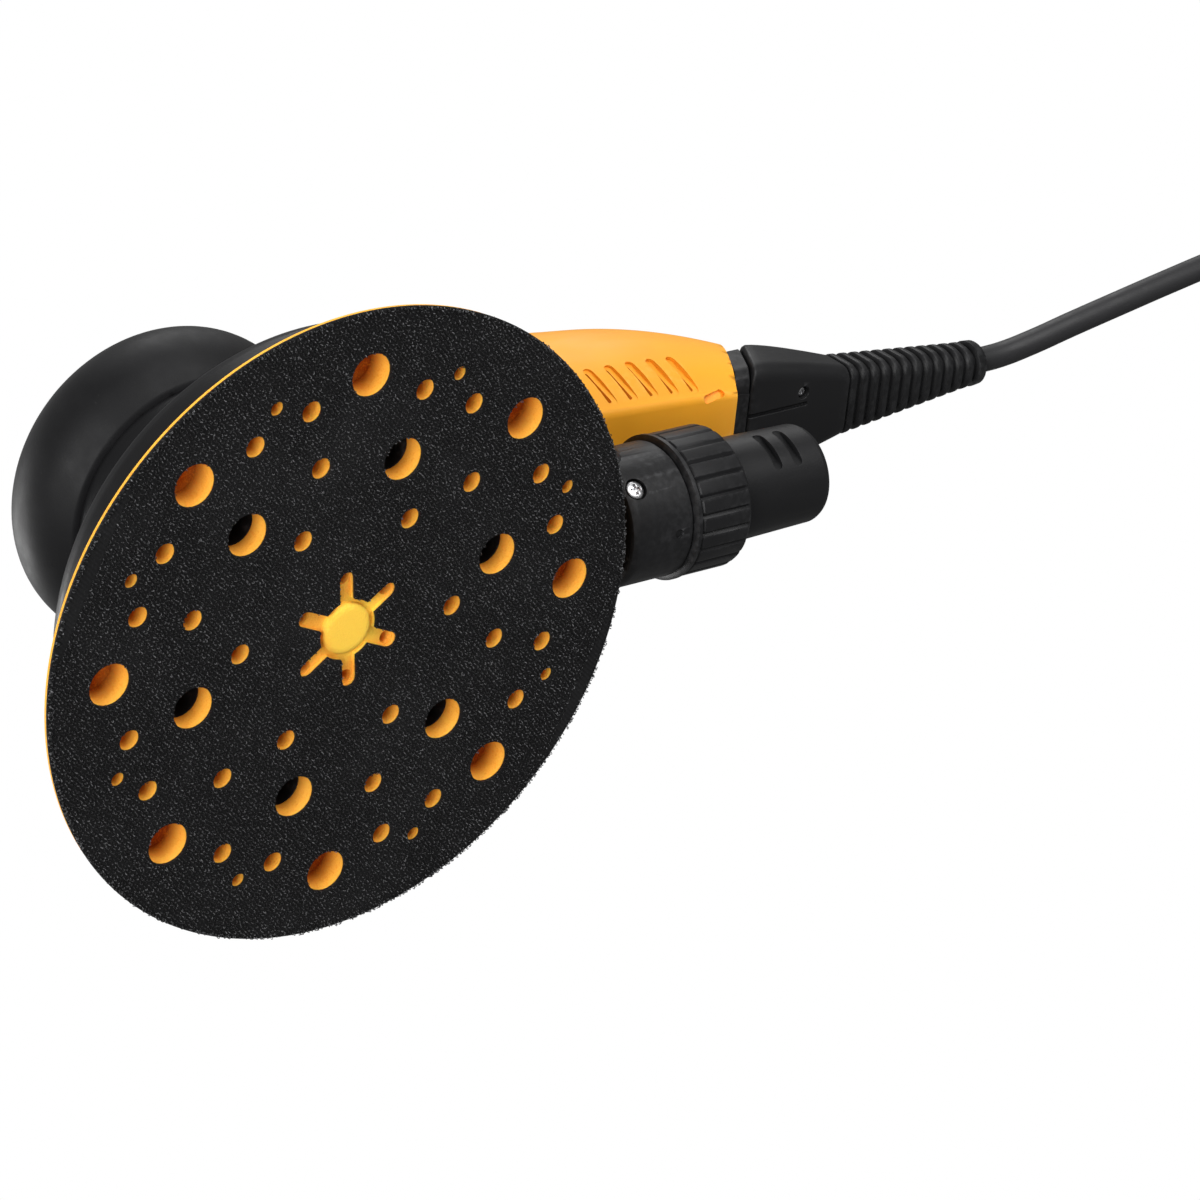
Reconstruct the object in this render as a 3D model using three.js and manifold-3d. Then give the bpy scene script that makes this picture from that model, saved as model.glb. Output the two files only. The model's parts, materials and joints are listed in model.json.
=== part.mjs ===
// Random-orbital sander with a 150 mm pad, a rear dust outlet and a detachable mains cable.
// Millimetres. Z runs up the motor spindle from the plane of the pad's hook face, and the
// handle, the dust outlet and the cable leave towards +Y.
import * as THREE from 'three';
import { mergeVertices } from 'three/addons/utils/BufferGeometryUtils.js';
import Module from 'manifold-3d';

const wasm = await Module();
wasm.setup();

// ---- driving dimensions ----
const CLEAR = 0.3;                       // gap between touching pieces
const ORBIT = 2.5;                       // pad axis to spindle axis
const PAD = { r: 75, hookTop: 1.3, foamTop: 11.2, foamTopR: 64.5, plateTop: 14.6, plateR: 62.5, bossR: 14,
  bossTop: 18.2 };
const SLEEVE = { r: 5.6, bore: 5, low: 6.9 };    // the plate's tubes, which line the through holes
const HOLES = [                          // the pad's dust holes: pitch radius, count, first angle
  { ring: 60, count: 8, first: 1, r: 5, sides: 10, through: false },
  { ring: 40, count: 6, first: 16, r: 5, sides: 10, through: true },
  { ring: 27.6, count: 6, first: 31, r: 2.5, sides: 6, through: false },
  { ring: 41.8, count: 6, first: 46, r: 2.5, sides: 6, through: false },
  { ring: 56, count: 8, first: 16, r: 2.5, sides: 6, through: false },
  { ring: 56, count: 8, first: 31, r: 2.5, sides: 6, through: false },
  { ring: 61, count: 8, first: 23.5, r: 1.7, sides: 5, through: false },
];
const BLIND_TOP = 8.5;                   // how far up a blind dust hole runs
const HUB_R = 7;                         // foam disc in the middle of the hook face
const HUB_Z = 0.5;
const STAR = { arms: 6, first: -6, end: 14.3, half: 1.9 };   // the slots that run out from that disc
const STUD = { r: 3.95, headR: 8, headHigh: 2.7, top: 29 };
const SPINDLE = { flangeR: 9, flangeHigh: 3, r: 6, top: 35.5 };
const CUP = { r: 14, inner: 11.3, low: 23.5, floor: 36, top: 39.4 };     // the rotor's eccentric end
const WEIGHT = { inner: 18, outer: 30, low: 24.5, high: 30.5, webHalf: 5, webLow: 27, start: 6 };
const FAN = { disc: 1.4, top: 46.4, r: 26, hubR: 9, blades: 9, bladeLong: 15.5, bladeThick: 1.2,
  twist: 0.45 };
const MAGNET = { r: 13, low: 56, high: 80 };
const BEARING = { r: 9.5, lower: [48, 53.5], upper: [84, 89] };
const STATOR = { r: 28.6, bore: 13.8, low: 55, high: 81.5 };
const SHAFT_R = 5;
const MOTOR = { r: 31.2, wall: 2.2, bottom: 34.4, neckTop: 88 };
const DOME = { r: 38.3, half: 22.7, z: 78.5, wall: 2.4, lip: 66.4 };
const SHROUD = { r: 62.5, bottom: 16.3, top: 33.4, wall: 2.2 };
const DUCT = { half: 19.6, low: 17.2, high: 33.6, start: 53, wall: 2.2 };
const OUTLET = { z: 20, r: 16, bore: 13.8, start: 78, end: 95.2 };
const COLLAR = { start: 95.5, end: 112.4, r: 16.2, rib: 0.7, bore: 12.9, ribs: 24 };
const NOZZLE = { start: 97, end: 139.6, r: 12.4, tip: 11.8, bore: 9.6 };
const SKIN = 2.2;                        // handle shell wall
const RIM = { y: 136, z: 41, lean: 0.5 };    // rear rim of the handle: y at height z, and its lean
const HINGE = { y: 46, z: 83.6, pinR: 2, bore: 2.3 };
const LEVER = { front: 41, rear: 117, half: 12, frontLow: 87, rearLow: 84.2, frontTop: 92, rearTop: 90.8 };
const PANEL = { y: 129.6, z: 74.4, long: 17, half: 10, tilt: 0.214 };
const VENT = { count: 5, y: 97, pitch: 6.4, z: 45, rise: 0.35, wide: 1.9, tall: 10.8, lean: 0.18 };
const LEVER_WELL = { half: 13.4, front: 39.5, rear: 58, floor: 79 };
const RELIEF = { start: 176.6, end: 222.8, z: 51.8, ribs: 12, tipR: 5.3 };
const CORD_R = 3.25;
const COIL = { x: 56, y: 392, r: 40, halfWide: 13.4, low: 0.2, top: 26.6 };
const TIE = { half: 6, thick: 1.2 };
const PLUG = { x: -2, z: 8.9, tail: 357.5, face: 322, half: 17.5, thick: 8.4, pinR: 2.4, pinX: 9.5,
  pinLength: 19 };

// The handle's cross-section along Y: half width at the lower edge, greatest half width,
// then the heights of the underside, of the widest line and of the top.
const HANDLE = [
  { y: 18, edge: 26, half: 29.5, low: 37.6, mid: 70, top: 89 },
  { y: 40, edge: 24, half: 31.5, low: 37.6, mid: 69, top: 87 },
  { y: 60, edge: 21, half: 29, low: 37.6, mid: 67, top: 84.5 },
  { y: 80, edge: 18.5, half: 26.5, low: 37.8, mid: 65, top: 81.5 },
  { y: 95, edge: 17.2, half: 25, low: 38.2, mid: 63.5, top: 79 },
  { y: 110, edge: 16, half: 23.8, low: 38.9, mid: 62.5, top: 76.8 },
  { y: 122, edge: 14.8, half: 22, low: 39.7, mid: 61, top: 75 },
  { y: 134, edge: 13.2, half: 19.2, low: 40.6, mid: 59.5, top: 72.4 },
  { y: 145, edge: 11.4, half: 16, low: 42, mid: 57.5, top: 68.6 },
  { y: 156, edge: 9.5, half: 12.2, low: 43.5, mid: 55, top: 63.5 },
];

const COLOUR = { yellow: 0xffb53a, foam: 0xffb02e, black: 0x2b2b2c, rubber: 0x1d1d1e, hook: 0x161616,
  grey: 0x55575a, steel: 0xb9bcc0, copper: 0x9a5a2c, magnet: 0x4a4c50, board: 0x1f6b3a, alu: 0xc2c5c8 };

const model = new THREE.Group();

// ---- solids ----
function solid(geometry) {
  const clean = geometry.clone();
  clean.deleteAttribute('normal');
  clean.deleteAttribute('uv');
  const merged = mergeVertices(clean, 1e-4);
  return new wasm.Manifold(new wasm.Mesh({
    numProp: 3,
    vertProperties: new Float32Array(merged.attributes.position.array),
    triVerts: new Uint32Array(merged.index.array),
  }));
}

function geometryOf(body) {
  const mesh = body.getMesh();
  const geometry = new THREE.BufferGeometry();
  geometry.setAttribute('position', new THREE.BufferAttribute(mesh.vertProperties, 3));
  geometry.setIndex(new THREE.BufferAttribute(mesh.triVerts, 1));
  geometry.computeVertexNormals();
  return geometry;
}

function put(name, body, colour, metalness = 0, roughness = 0.6) {
  const geometry = body.isBufferGeometry ? body : geometryOf(body);
  const material = new THREE.MeshStandardMaterial({ color: colour, metalness, roughness });
  const mesh = new THREE.Mesh(geometry, material);
  mesh.name = name;
  model.add(mesh);
}

function cylinder(r, z0, z1, x = 0, y = 0, sides = 24, topR = r) {
  const geometry = new THREE.CylinderGeometry(topR, r, z1 - z0, sides);
  geometry.rotateX(Math.PI / 2);
  geometry.translate(x, y, (z0 + z1) / 2);
  return solid(geometry);
}

function cylinderAlongY(r, y0, y1, x, z, sides = 24, endR = r) {
  const geometry = new THREE.CylinderGeometry(endR, r, y1 - y0, sides);
  geometry.translate(x, (y0 + y1) / 2, z);
  return solid(geometry);
}

function cylinderAlongX(r, x0, x1, y, z, sides = 16) {
  const geometry = new THREE.CylinderGeometry(r, r, x1 - x0, sides);
  geometry.rotateZ(Math.PI / 2);
  geometry.translate((x0 + x1) / 2, y, z);
  return solid(geometry);
}

function box(x0, x1, y0, y1, z0, z1) {
  const geometry = new THREE.BoxGeometry(x1 - x0, y1 - y0, z1 - z0);
  geometry.translate((x0 + x1) / 2, (y0 + y1) / 2, (z0 + z1) / 2);
  return solid(geometry);
}

// A closed profile of [radius, height] points turned about a vertical axis.
function turned(profile, sides = 36, x = 0, y = 0) {
  const points = profile.map(([r, z]) => new THREE.Vector2(r, z));
  const onAxis = profile[0][0] === 0 && profile.at(-1)[0] === 0;
  if (!onAxis) points.push(points[0].clone());
  const geometry = new THREE.LatheGeometry(points, sides);
  geometry.rotateX(Math.PI / 2);
  geometry.translate(x, y, 0);
  return solid(geometry);
}

function tube(outer, inner, z0, z1, x = 0, y = 0, sides = 24) {
  return turned([[inner, z0], [outer, z0], [outer, z1], [inner, z1]], sides, x, y);
}

// Rings of Vector3 with equal point counts, skinned and capped at both ends.
function lofted(rings) {
  const count = rings[0].length;
  const position = rings.flat().flatMap((p) => [p.x, p.y, p.z]);
  const index = [];
  for (let k = 0; k + 1 < rings.length; k += 1) {
    for (let i = 0; i < count; i += 1) {
      const j = (i + 1) % count;
      const [a, b, c, d] = [k * count + i, k * count + j, (k + 1) * count + i, (k + 1) * count + j];
      index.push(a, c, b, b, c, d);
    }
  }
  const last = (rings.length - 1) * count;
  for (let i = 1; i + 1 < count; i += 1) {
    index.push(0, i, i + 1, last, last + i + 1, last + i);
  }
  const geometry = new THREE.BufferGeometry();
  geometry.setAttribute('position', new THREE.Float32BufferAttribute(position, 3));
  geometry.setIndex(index);
  return solid(geometry);
}

function hexagon(acrossCorners, z0, z1, x, y) {
  return cylinder(acrossCorners, z0, z1, x, y, 6);
}

// ---- pad, which turns freely about its own eccentric axis ----
function onRing(ring, degrees) {
  const angle = THREE.MathUtils.degToRad(degrees);
  return [ring * Math.cos(angle), ring * Math.sin(angle) - ORBIT];
}

function dustHoles(z0, z1, wanted = () => true) {
  const cuts = [];
  for (const set of HOLES.filter(wanted)) {
    for (let k = 0; k < set.count; k += 1) {
      const [x, y] = onRing(set.ring, set.first + (360 / set.count) * k);
      cuts.push(cylinder(set.r, z0, set.through ? z1 : Math.min(z1, BLIND_TOP), x, y, set.sides));
    }
  }
  return wasm.Manifold.union(cuts);
}

// A cylinder on each through hole.
function sleeves(z0, z1, r) {
  const cylinders = [];
  for (const set of HOLES.filter(({ through }) => through)) {
    for (let k = 0; k < set.count; k += 1) {
      const [x, y] = onRing(set.ring, set.first + (360 / set.count) * k);
      cylinders.push(cylinder(r, z0, z1, x, y, 14));
    }
  }
  return wasm.Manifold.union(cylinders);
}

// The round middle of the hook face, with six slots running out from it like a star.
function starCut() {
  const cuts = [cylinder(HUB_R + CLEAR, -1, PAD.hookTop + 1, 0, -ORBIT, 24)];
  const inner = HUB_R - 2;
  for (let k = 0; k < STAR.arms; k += 1) {
    const geometry = new THREE.BoxGeometry(STAR.end - inner, STAR.half * 2, 4);
    geometry.translate((STAR.end + inner) / 2, 0, 0.5);
    geometry.rotateZ(THREE.MathUtils.degToRad(STAR.first + (360 / STAR.arms) * k));
    geometry.translate(0, -ORBIT, 0);
    cuts.push(solid(geometry));
  }
  return wasm.Manifold.union(cuts);
}

function pad() {
  const disc = cylinder(PAD.r, 0, PAD.hookTop, 0, -ORBIT, 48);
  const hooks = disc.subtract(dustHoles(-1, PAD.hookTop + 1)).subtract(starCut());
  put('pad_hook_face', hooks, COLOUR.hook, 0, 0.95);
  const foamLow = PAD.hookTop + 0.2;
  const foam = turned([[0, foamLow], [PAD.r - 0.6, foamLow], [PAD.r - 0.3, foamLow + 1],
    [PAD.foamTopR, PAD.foamTop], [0, PAD.foamTop]], 48, 0, -ORBIT)
    .add(cylinder(HUB_R, HUB_Z, foamLow + 1, 0, -ORBIT, 24));
  const large = dustHoles(foamLow - 1, PAD.foamTop + 1, (set) => set.r > 4);
  const sleeveRoom = sleeves(SLEEVE.low - CLEAR, PAD.foamTop + 1, SLEEVE.r + CLEAR);
  put('pad_foam', foam.subtract(large).subtract(sleeveRoom), COLOUR.foam, 0, 0.9);
  const low = PAD.foamTop + CLEAR;
  const plate = turned([[0, low], [PAD.plateR, low], [PAD.plateR, PAD.plateTop - 1],
    [PAD.plateR - 1, PAD.plateTop], [PAD.bossR + 2, PAD.plateTop], [PAD.bossR, PAD.bossTop],
    [0, PAD.bossTop]], 32, 0, -ORBIT);
  const headTop = low + CLEAR + STUD.headHigh;
  const pocket = hexagon(STUD.headR + CLEAR, low - 1, headTop + CLEAR, 0, -ORBIT)
    .add(cylinder(STUD.r + CLEAR, low, PAD.bossTop + 1, 0, -ORBIT, 16));
  const through = dustHoles(low - 1, PAD.plateTop + 1, (set) => set.through);
  const lining = sleeves(SLEEVE.low, low + 1, SLEEVE.r).subtract(sleeves(0, PAD.plateTop, SLEEVE.bore));
  put('pad_backing_plate', plate.subtract(through).add(lining).subtract(pocket), COLOUR.grey);
  put('pad_stud', hexagon(STUD.headR, low, headTop, 0, -ORBIT)
    .add(cylinder(STUD.r, low + 1, STUD.top, 0, -ORBIT, 16)), COLOUR.steel, 1, 0.35);
  const washerTop = PAD.bossTop + CLEAR + 1;
  put('pad_washer', tube(SPINDLE.flangeR + 1, STUD.r + CLEAR, PAD.bossTop + CLEAR, washerTop, 0, -ORBIT, 20),
    COLOUR.steel, 1, 0.4);
  const spindleLow = washerTop + CLEAR;
  const flangeTop = spindleLow + SPINDLE.flangeHigh;
  const bore = STUD.r + CLEAR;
  put('pad_spindle', turned([[bore, spindleLow], [SPINDLE.flangeR, spindleLow], [SPINDLE.flangeR, flangeTop],
    [SPINDLE.r, flangeTop], [SPINDLE.r, SPINDLE.top], [0, SPINDLE.top], [0, STUD.top + CLEAR],
    [bore, STUD.top + CLEAR]], 20, 0, -ORBIT), COLOUR.steel, 1, 0.3);
}

// ---- rotor, which turns in the housing ----
function rotor() {
  const hub = turned([[CUP.inner, CUP.low], [CUP.r, CUP.low], [CUP.r, CUP.top], [0, CUP.top],
    [0, CUP.floor], [CUP.inner, CUP.floor]], 24, 0, -ORBIT);
  put('rotor_shaft', hub.add(cylinder(SHAFT_R, CUP.top - 1, BEARING.upper[1] + 1, 0, 0, 20)),
    COLOUR.steel, 1, 0.3);
  put('eccentric_bearing', tube(CUP.inner - CLEAR, SPINDLE.r + CLEAR, CUP.low + 0.5, CUP.floor - 1, 0,
    -ORBIT), COLOUR.steel, 1, 0.25);
  const ring = tube(WEIGHT.outer, WEIGHT.inner, WEIGHT.low, WEIGHT.high, 0, 0, 36)
    .intersect(box(-WEIGHT.outer, WEIGHT.outer, WEIGHT.start, WEIGHT.outer, 0, WEIGHT.high));
  const web = box(-WEIGHT.webHalf, WEIGHT.webHalf, CUP.r - ORBIT + CLEAR, WEIGHT.inner + 2, WEIGHT.webLow,
    WEIGHT.high);
  put('counterweight', ring.add(web), COLOUR.steel, 1, 0.45);
  put('cooling_fan', fanWheel(), COLOUR.grey, 0, 0.5);
  put('rotor_magnet', tube(MAGNET.r, SHAFT_R + CLEAR, MAGNET.low, MAGNET.high), COLOUR.magnet, 0.8, 0.4);
}

function fanWheel() {
  const low = CUP.top + CLEAR;
  const bore = SHAFT_R + CLEAR;
  let wheel = tube(FAN.r, bore, low, low + FAN.disc, 0, 0, 32)
    .add(tube(FAN.hubR, bore, low, FAN.top, 0, 0, 16));
  for (let k = 0; k < FAN.blades; k += 1) {
    const geometry = new THREE.BoxGeometry(FAN.bladeLong, FAN.bladeThick, FAN.top - low - 0.5);
    geometry.translate(0, 0, (FAN.top + low + 0.5) / 2);
    geometry.rotateZ(FAN.twist);
    geometry.translate((FAN.r + FAN.hubR) / 2, 0, 0);
    geometry.rotateZ((2 * Math.PI * k) / FAN.blades);
    wheel = wheel.add(solid(geometry));
  }
  return wheel;
}

// ---- motor and head ----
function motor() {
  const bore = SHAFT_R + CLEAR;
  const seat = BEARING.r + CLEAR;
  const [lowerLow, lowerTop] = BEARING.lower;
  const [upperLow, upperTop] = BEARING.upper;
  put('lower_bearing', tube(BEARING.r, bore, lowerLow, lowerTop, 0, 0, 20), COLOUR.steel, 1, 0.25);
  put('bearing_bridge', tube(STATOR.r, seat, lowerLow + 0.4, lowerTop - 0.9, 0, 0, 32), COLOUR.alu, 0.9,
    0.5);
  put('stator', tube(STATOR.r, STATOR.bore, STATOR.low, STATOR.high, 0, 0, 32), COLOUR.copper, 0.6, 0.5);
  put('upper_bearing', tube(BEARING.r, bore, upperLow, upperTop, 0, 0, 20), COLOUR.steel, 1, 0.25);
  const crown = upperTop + 3;
  const cap = { wall: 2.7, floor: 3.5, roof: 1.6 };
  put('motor_cap', turned([[seat, upperLow], [STATOR.r, upperLow], [STATOR.r, upperLow + cap.floor],
    [seat + cap.wall, upperLow + cap.floor], [seat + cap.wall, crown], [0, crown], [0, crown - cap.roof],
    [seat, crown - cap.roof]], 32), COLOUR.alu, 0.9, 0.5);
  const r = MOTOR.r;
  const w = MOTOR.wall;
  put('motor_housing', turned([[35, MOTOR.bottom], [37.5, MOTOR.bottom], [36.6, 37], [33, 41.5], [r, 48],
    [r, DOME.lip - 1.6], [r - 0.8, DOME.lip], [r - 0.8, MOTOR.neckTop], [r - w, MOTOR.neckTop],
    [r - w, 48], [33 - w, 43], [34.4, 36.8]], 32), COLOUR.black, 0, 0.55);
}

// Points of the dome's meridian from the lip to the crown, moved inwards by the given depth.
function domeMeridian(depth, lip, steps) {
  const points = [];
  const half = DOME.half - depth;
  const r = DOME.r - depth;
  const start = Math.asin((lip - DOME.z) / half);
  for (let k = 0; k <= steps; k += 1) {
    const angle = start + ((Math.PI / 2 - start) * k) / steps;
    points.push([k === steps ? 0 : r * Math.cos(angle), DOME.z + half * Math.sin(angle)]);
  }
  return points;
}

function shell(outerDepth, innerDepth, lip, steps, sides) {
  const inner = domeMeridian(innerDepth, lip, steps).reverse();
  return turned([...domeMeridian(outerDepth, lip, steps), ...inner], sides);
}

function head() {
  const neck = cylinder(MOTOR.r - 0.8 + CLEAR, 60, MOTOR.neckTop + CLEAR, 0, 0, 32);
  const handleRoom = handleSolid(-CLEAR);
  put('grip_dome', shell(0, DOME.wall, DOME.lip, 6, 32).subtract(handleRoom).subtract(neck),
    COLOUR.rubber, 0, 0.8);
  const depth = DOME.wall + CLEAR + 0.5;
  const frame = shell(depth, depth + 1.6, DOME.lip + 0.6, 4, 24).subtract(neck).subtract(handleRoom);
  put('head_frame', largest(frame), COLOUR.grey, 0, 0.6);
}

// ---- shroud, brake seal and dust outlet ----
function shroud() {
  const { r, bottom, top, wall } = SHROUD;
  const skirt = turned([[r - wall, bottom], [r, bottom], [r + 0.3, 22], [r - 2.5, 27], [50, 31.2],
    [38, top], [31, top + 0.6], [31, top - 1.6], [38, top - wall], [49, 28.8], [r - wall - 2, 25.2],
    [r - wall, 21.5]], 36);
  const gap = box(-DUCT.half - CLEAR, DUCT.half + CLEAR, 45, 80, 10, 45)
    .subtract(cylinder(DUCT.start - CLEAR, 0, 60, 0, 0, 48));
  put('pad_shroud', skirt.subtract(gap), COLOUR.black, 0, 0.6);
  put('brake_seal', turned([[47, PAD.plateTop + CLEAR], [49, PAD.plateTop + CLEAR], [50.6, 24],
    [50.6, 27.6], [48.4, 28], [48.4, 24]], 32), COLOUR.rubber, 0, 0.85);
}

function outlet() {
  const { z, r, bore, start, end } = OUTLET;
  const duct = box(-DUCT.half, DUCT.half, DUCT.start, start + 5, DUCT.low, DUCT.high)
    .subtract(cylinder(DUCT.start, 0, 60, 0, 0, 48));
  const inner = DUCT.half - DUCT.wall;
  const way = box(-inner, inner, DUCT.start - 5, start + 5, DUCT.low + DUCT.wall, DUCT.high - DUCT.wall)
    .intersect(box(-30, 30, 40, start + 4, 0, 60));
  const pipe = cylinderAlongY(r, start, end, 0, z, 36);
  const hole = cylinderAlongY(bore, start + 2, end + 1, 0, z, 28);
  const screw = screwPlace();
  const recess = cylinder(2.6, -1.6, 3, 0, 0, 14);
  const body = duct.add(pipe).subtract(way).subtract(hole.add(cylinderAlongY(11, start + 1, end, 0, z)))
    .subtract(placed(recess, screw));
  put('exhaust_body', body, COLOUR.black, 0, 0.6);
  put('exhaust_screw', placed(crossHead(2.2, 1.1), screw), COLOUR.steel, 1, 0.3);
}

// Where the outlet's screw sits on the pipe, 40 degrees under its right side, head outwards.
function screwPlace() {
  const angle = THREE.MathUtils.degToRad(-40);
  const place = new THREE.Object3D();
  const out = new THREE.Vector3(Math.cos(angle), 0, Math.sin(angle));
  place.position.set(0, OUTLET.start + 3.5, OUTLET.z).addScaledVector(out, OUTLET.r - 0.4);
  place.quaternion.setFromUnitVectors(new THREE.Vector3(0, 0, 1), out);
  place.updateMatrix();
  return place.matrix;
}

function placed(body, matrix) {
  return solid(geometryOf(body).applyMatrix4(matrix));
}

// A low round screw head with a cross recess, standing along +Z from its seat at z = -1.
function crossHead(r, height) {
  const head = cylinder(r, -1, height - 1, 0, 0, 14, r * 0.8);
  const arm = r * 0.55;
  return head.subtract(box(-arm, arm, -0.35, 0.35, height - 1.6, height))
    .subtract(box(-0.35, 0.35, -arm, arm, height - 1.6, height));
}

function collar() {
  const { start, end, r, rib, bore, ribs } = COLLAR;
  const shape = new THREE.Shape();
  const steps = ribs * 4;
  for (let k = 0; k < steps; k += 1) {
    const angle = (2 * Math.PI * (k + 0.5 * (k % 2))) / steps;
    const radius = k % 4 < 2 ? r + rib : r;
    if (k === 0) shape.moveTo(radius * Math.cos(angle), radius * Math.sin(angle));
    else shape.lineTo(radius * Math.cos(angle), radius * Math.sin(angle));
  }
  const geometry = new THREE.ExtrudeGeometry(shape, { depth: end - start - 1.2, bevelEnabled: false });
  geometry.rotateX(Math.PI / 2);
  geometry.translate(0, end, OUTLET.z);
  const body = solid(geometry).add(cylinderAlongY(r + 1, start, start + 1.4, 0, OUTLET.z, 36))
    .subtract(cylinderAlongY(bore, start - 1, end + 1, 0, OUTLET.z, 28));
  put('collar_ring', body, COLOUR.rubber, 0, 0.7);
}

function nozzle() {
  const { start, end, r, tip, bore } = NOZZLE;
  const slots = [{ y: 125, half: 1.3 }, { y: 131, half: 1.3 }];
  let body = cylinderAlongY(r, start, COLLAR.end + 2, 0, OUTLET.z, 32)
    .add(cylinderAlongY(r, COLLAR.end + 1, end, 0, OUTLET.z, 32, tip));
  for (const { y, half } of slots) {
    body = body.subtract(box(6.5, r + 1, y - half, y + half, OUTLET.z - 10, OUTLET.z + 1));
  }
  body = body.subtract(cylinderAlongY(bore, start - 1, end + 1, 0, OUTLET.z, 28));
  put('outlet_nozzle', body, COLOUR.rubber, 0, 0.6);
}

// ---- handle ----
function handleRing({ y, edge, half, low, mid, top }, inset) {
  const e = edge - inset;
  const h = half - inset;
  const lo = low + inset;
  const hi = top - inset;
  const side = [[e * 0.86, lo], [e, lo + 1.6], [e + (h - e) * 0.55, lo + (mid - lo) * 0.35],
    [e + (h - e) * 0.9, lo + (mid - lo) * 0.7], [h, mid], [h * 0.965, mid + (hi - mid) * 0.42],
    [h * 0.85, mid + (hi - mid) * 0.73], [h * 0.62, mid + (hi - mid) * 0.92], [h * 0.3, hi - 0.1]];
  const right = side.map(([x, z]) => new THREE.Vector3(x, y, z));
  const left = side.map(([x, z]) => new THREE.Vector3(-x, y, z)).reverse();
  return [new THREE.Vector3(0, y, lo), ...right, new THREE.Vector3(0, y, hi), ...left];
}

function handleSolid(inset) {
  return lofted(HANDLE.map((section) => handleRing(section, inset)));
}

// Where a plane leaning like the handle's rim, and the given distance behind it, is at height z.
function behindRim(z, shift) {
  return RIM.y + (z - RIM.z) * RIM.lean + shift;
}

// Everything between two such planes.
function rimWedge(front, back) {
  const corners = [[front, 20], [back, 20], [back, 100], [front, 100]];
  return lofted([-40, 40].map((x) => corners
    .map(([shift, z]) => new THREE.Vector3(x, behindRim(z, shift), z)).reverse()));
}

function ventSlots(side) {
  const cuts = [];
  for (let k = 0; k < VENT.count; k += 1) {
    const geometry = new THREE.BoxGeometry(14, VENT.wide, VENT.tall);
    geometry.rotateX(VENT.lean);
    geometry.translate(side * 21, VENT.y + k * VENT.pitch, VENT.z + k * VENT.rise);
    cuts.push(solid(geometry));
  }
  return wasm.Manifold.union(cuts);
}

function handle() {
  const hollow = handleSolid(SKIN);
  const keepOut = wasm.Manifold.union([
    cylinder(MOTOR.r + CLEAR, 46, 100, 0, 0, 48),
    turned([[0, 30], [38, 30], [37, 37.4], [33.5, 42], [MOTOR.r + CLEAR, 48.2], [0, 48.2]], 48),
  ]);
  const wellBox = (grow) => box(-LEVER_WELL.half - grow, LEVER_WELL.half + grow, LEVER_WELL.front - grow,
    LEVER_WELL.rear + grow, LEVER_WELL.floor - grow, 100);
  const wellWalls = wellBox(SKIN).intersect(handleSolid(0.5));
  const panelCut = placed(panelBlock(CLEAR, 12), panelPlace());
  const pinHoles = cylinderAlongX(HINGE.pinR + 0.2, -16.5, 16.5, HINGE.y, HINGE.z);
  const whole = handleSolid(0).subtract(rimWedge(0, 60)).subtract(hollow).add(wellWalls)
    .subtract(wellBox(0)).subtract(panelCut).subtract(pinHoles).subtract(keepOut);
  for (const [name, side] of [['right', 1], ['left', -1]]) {
    const near = 0.15 * side;
    const far = 60 * side;
    const half = box(Math.min(near, far), Math.max(near, far), 0, 170, 0, 120);
    const screws = shellScrewPlaces().map((place) => placed(cylinder(2.6, -2.2, 20, 0, 0, 12), place));
    let part = whole.intersect(half).subtract(ventSlots(side));
    if (side < 0) part = part.subtract(wasm.Manifold.union(screws));
    put(`handle_shell_${name}`, largest(part), COLOUR.yellow, 0, 0.45);
  }
  shellScrewPlaces().forEach((place, k) => {
    put(`shell_screw_${k + 1}`, placed(crossHead(2.2, 1), place), COLOUR.steel, 1, 0.3);
  });
}

function largest(body) {
  return body.decompose().reduce((best, piece) => (piece.volume() > best.volume() ? piece : best));
}

// Screw seats on the left flank of the handle, heads facing -X.
function shellScrewPlaces() {
  const seats = [[70, 74, 25.4], [72, 48, 23], [116, 68, 21], [118, 48, 17.9]];
  return seats.map(([y, z, x]) => {
    const place = new THREE.Object3D();
    place.position.set(-x, y, z);
    place.rotation.y = -Math.PI / 2;
    place.updateMatrix();
    return place.matrix;
  });
}

function inside() {
  put('circuit_board', box(-15, 15, 62, 114, 56, 57.6), COLOUR.board, 0, 0.5);
  for (const [k, y] of [[1, 72], [2, 92]]) {
    put(`capacitor_${k}`, cylinder(6, 58, 72, 0, y, 18), COLOUR.magnet, 0.5, 0.4);
  }
  put('lever_sensor', box(-3, 3, 103, 109, 58, 61.5), COLOUR.black);
}

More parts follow.
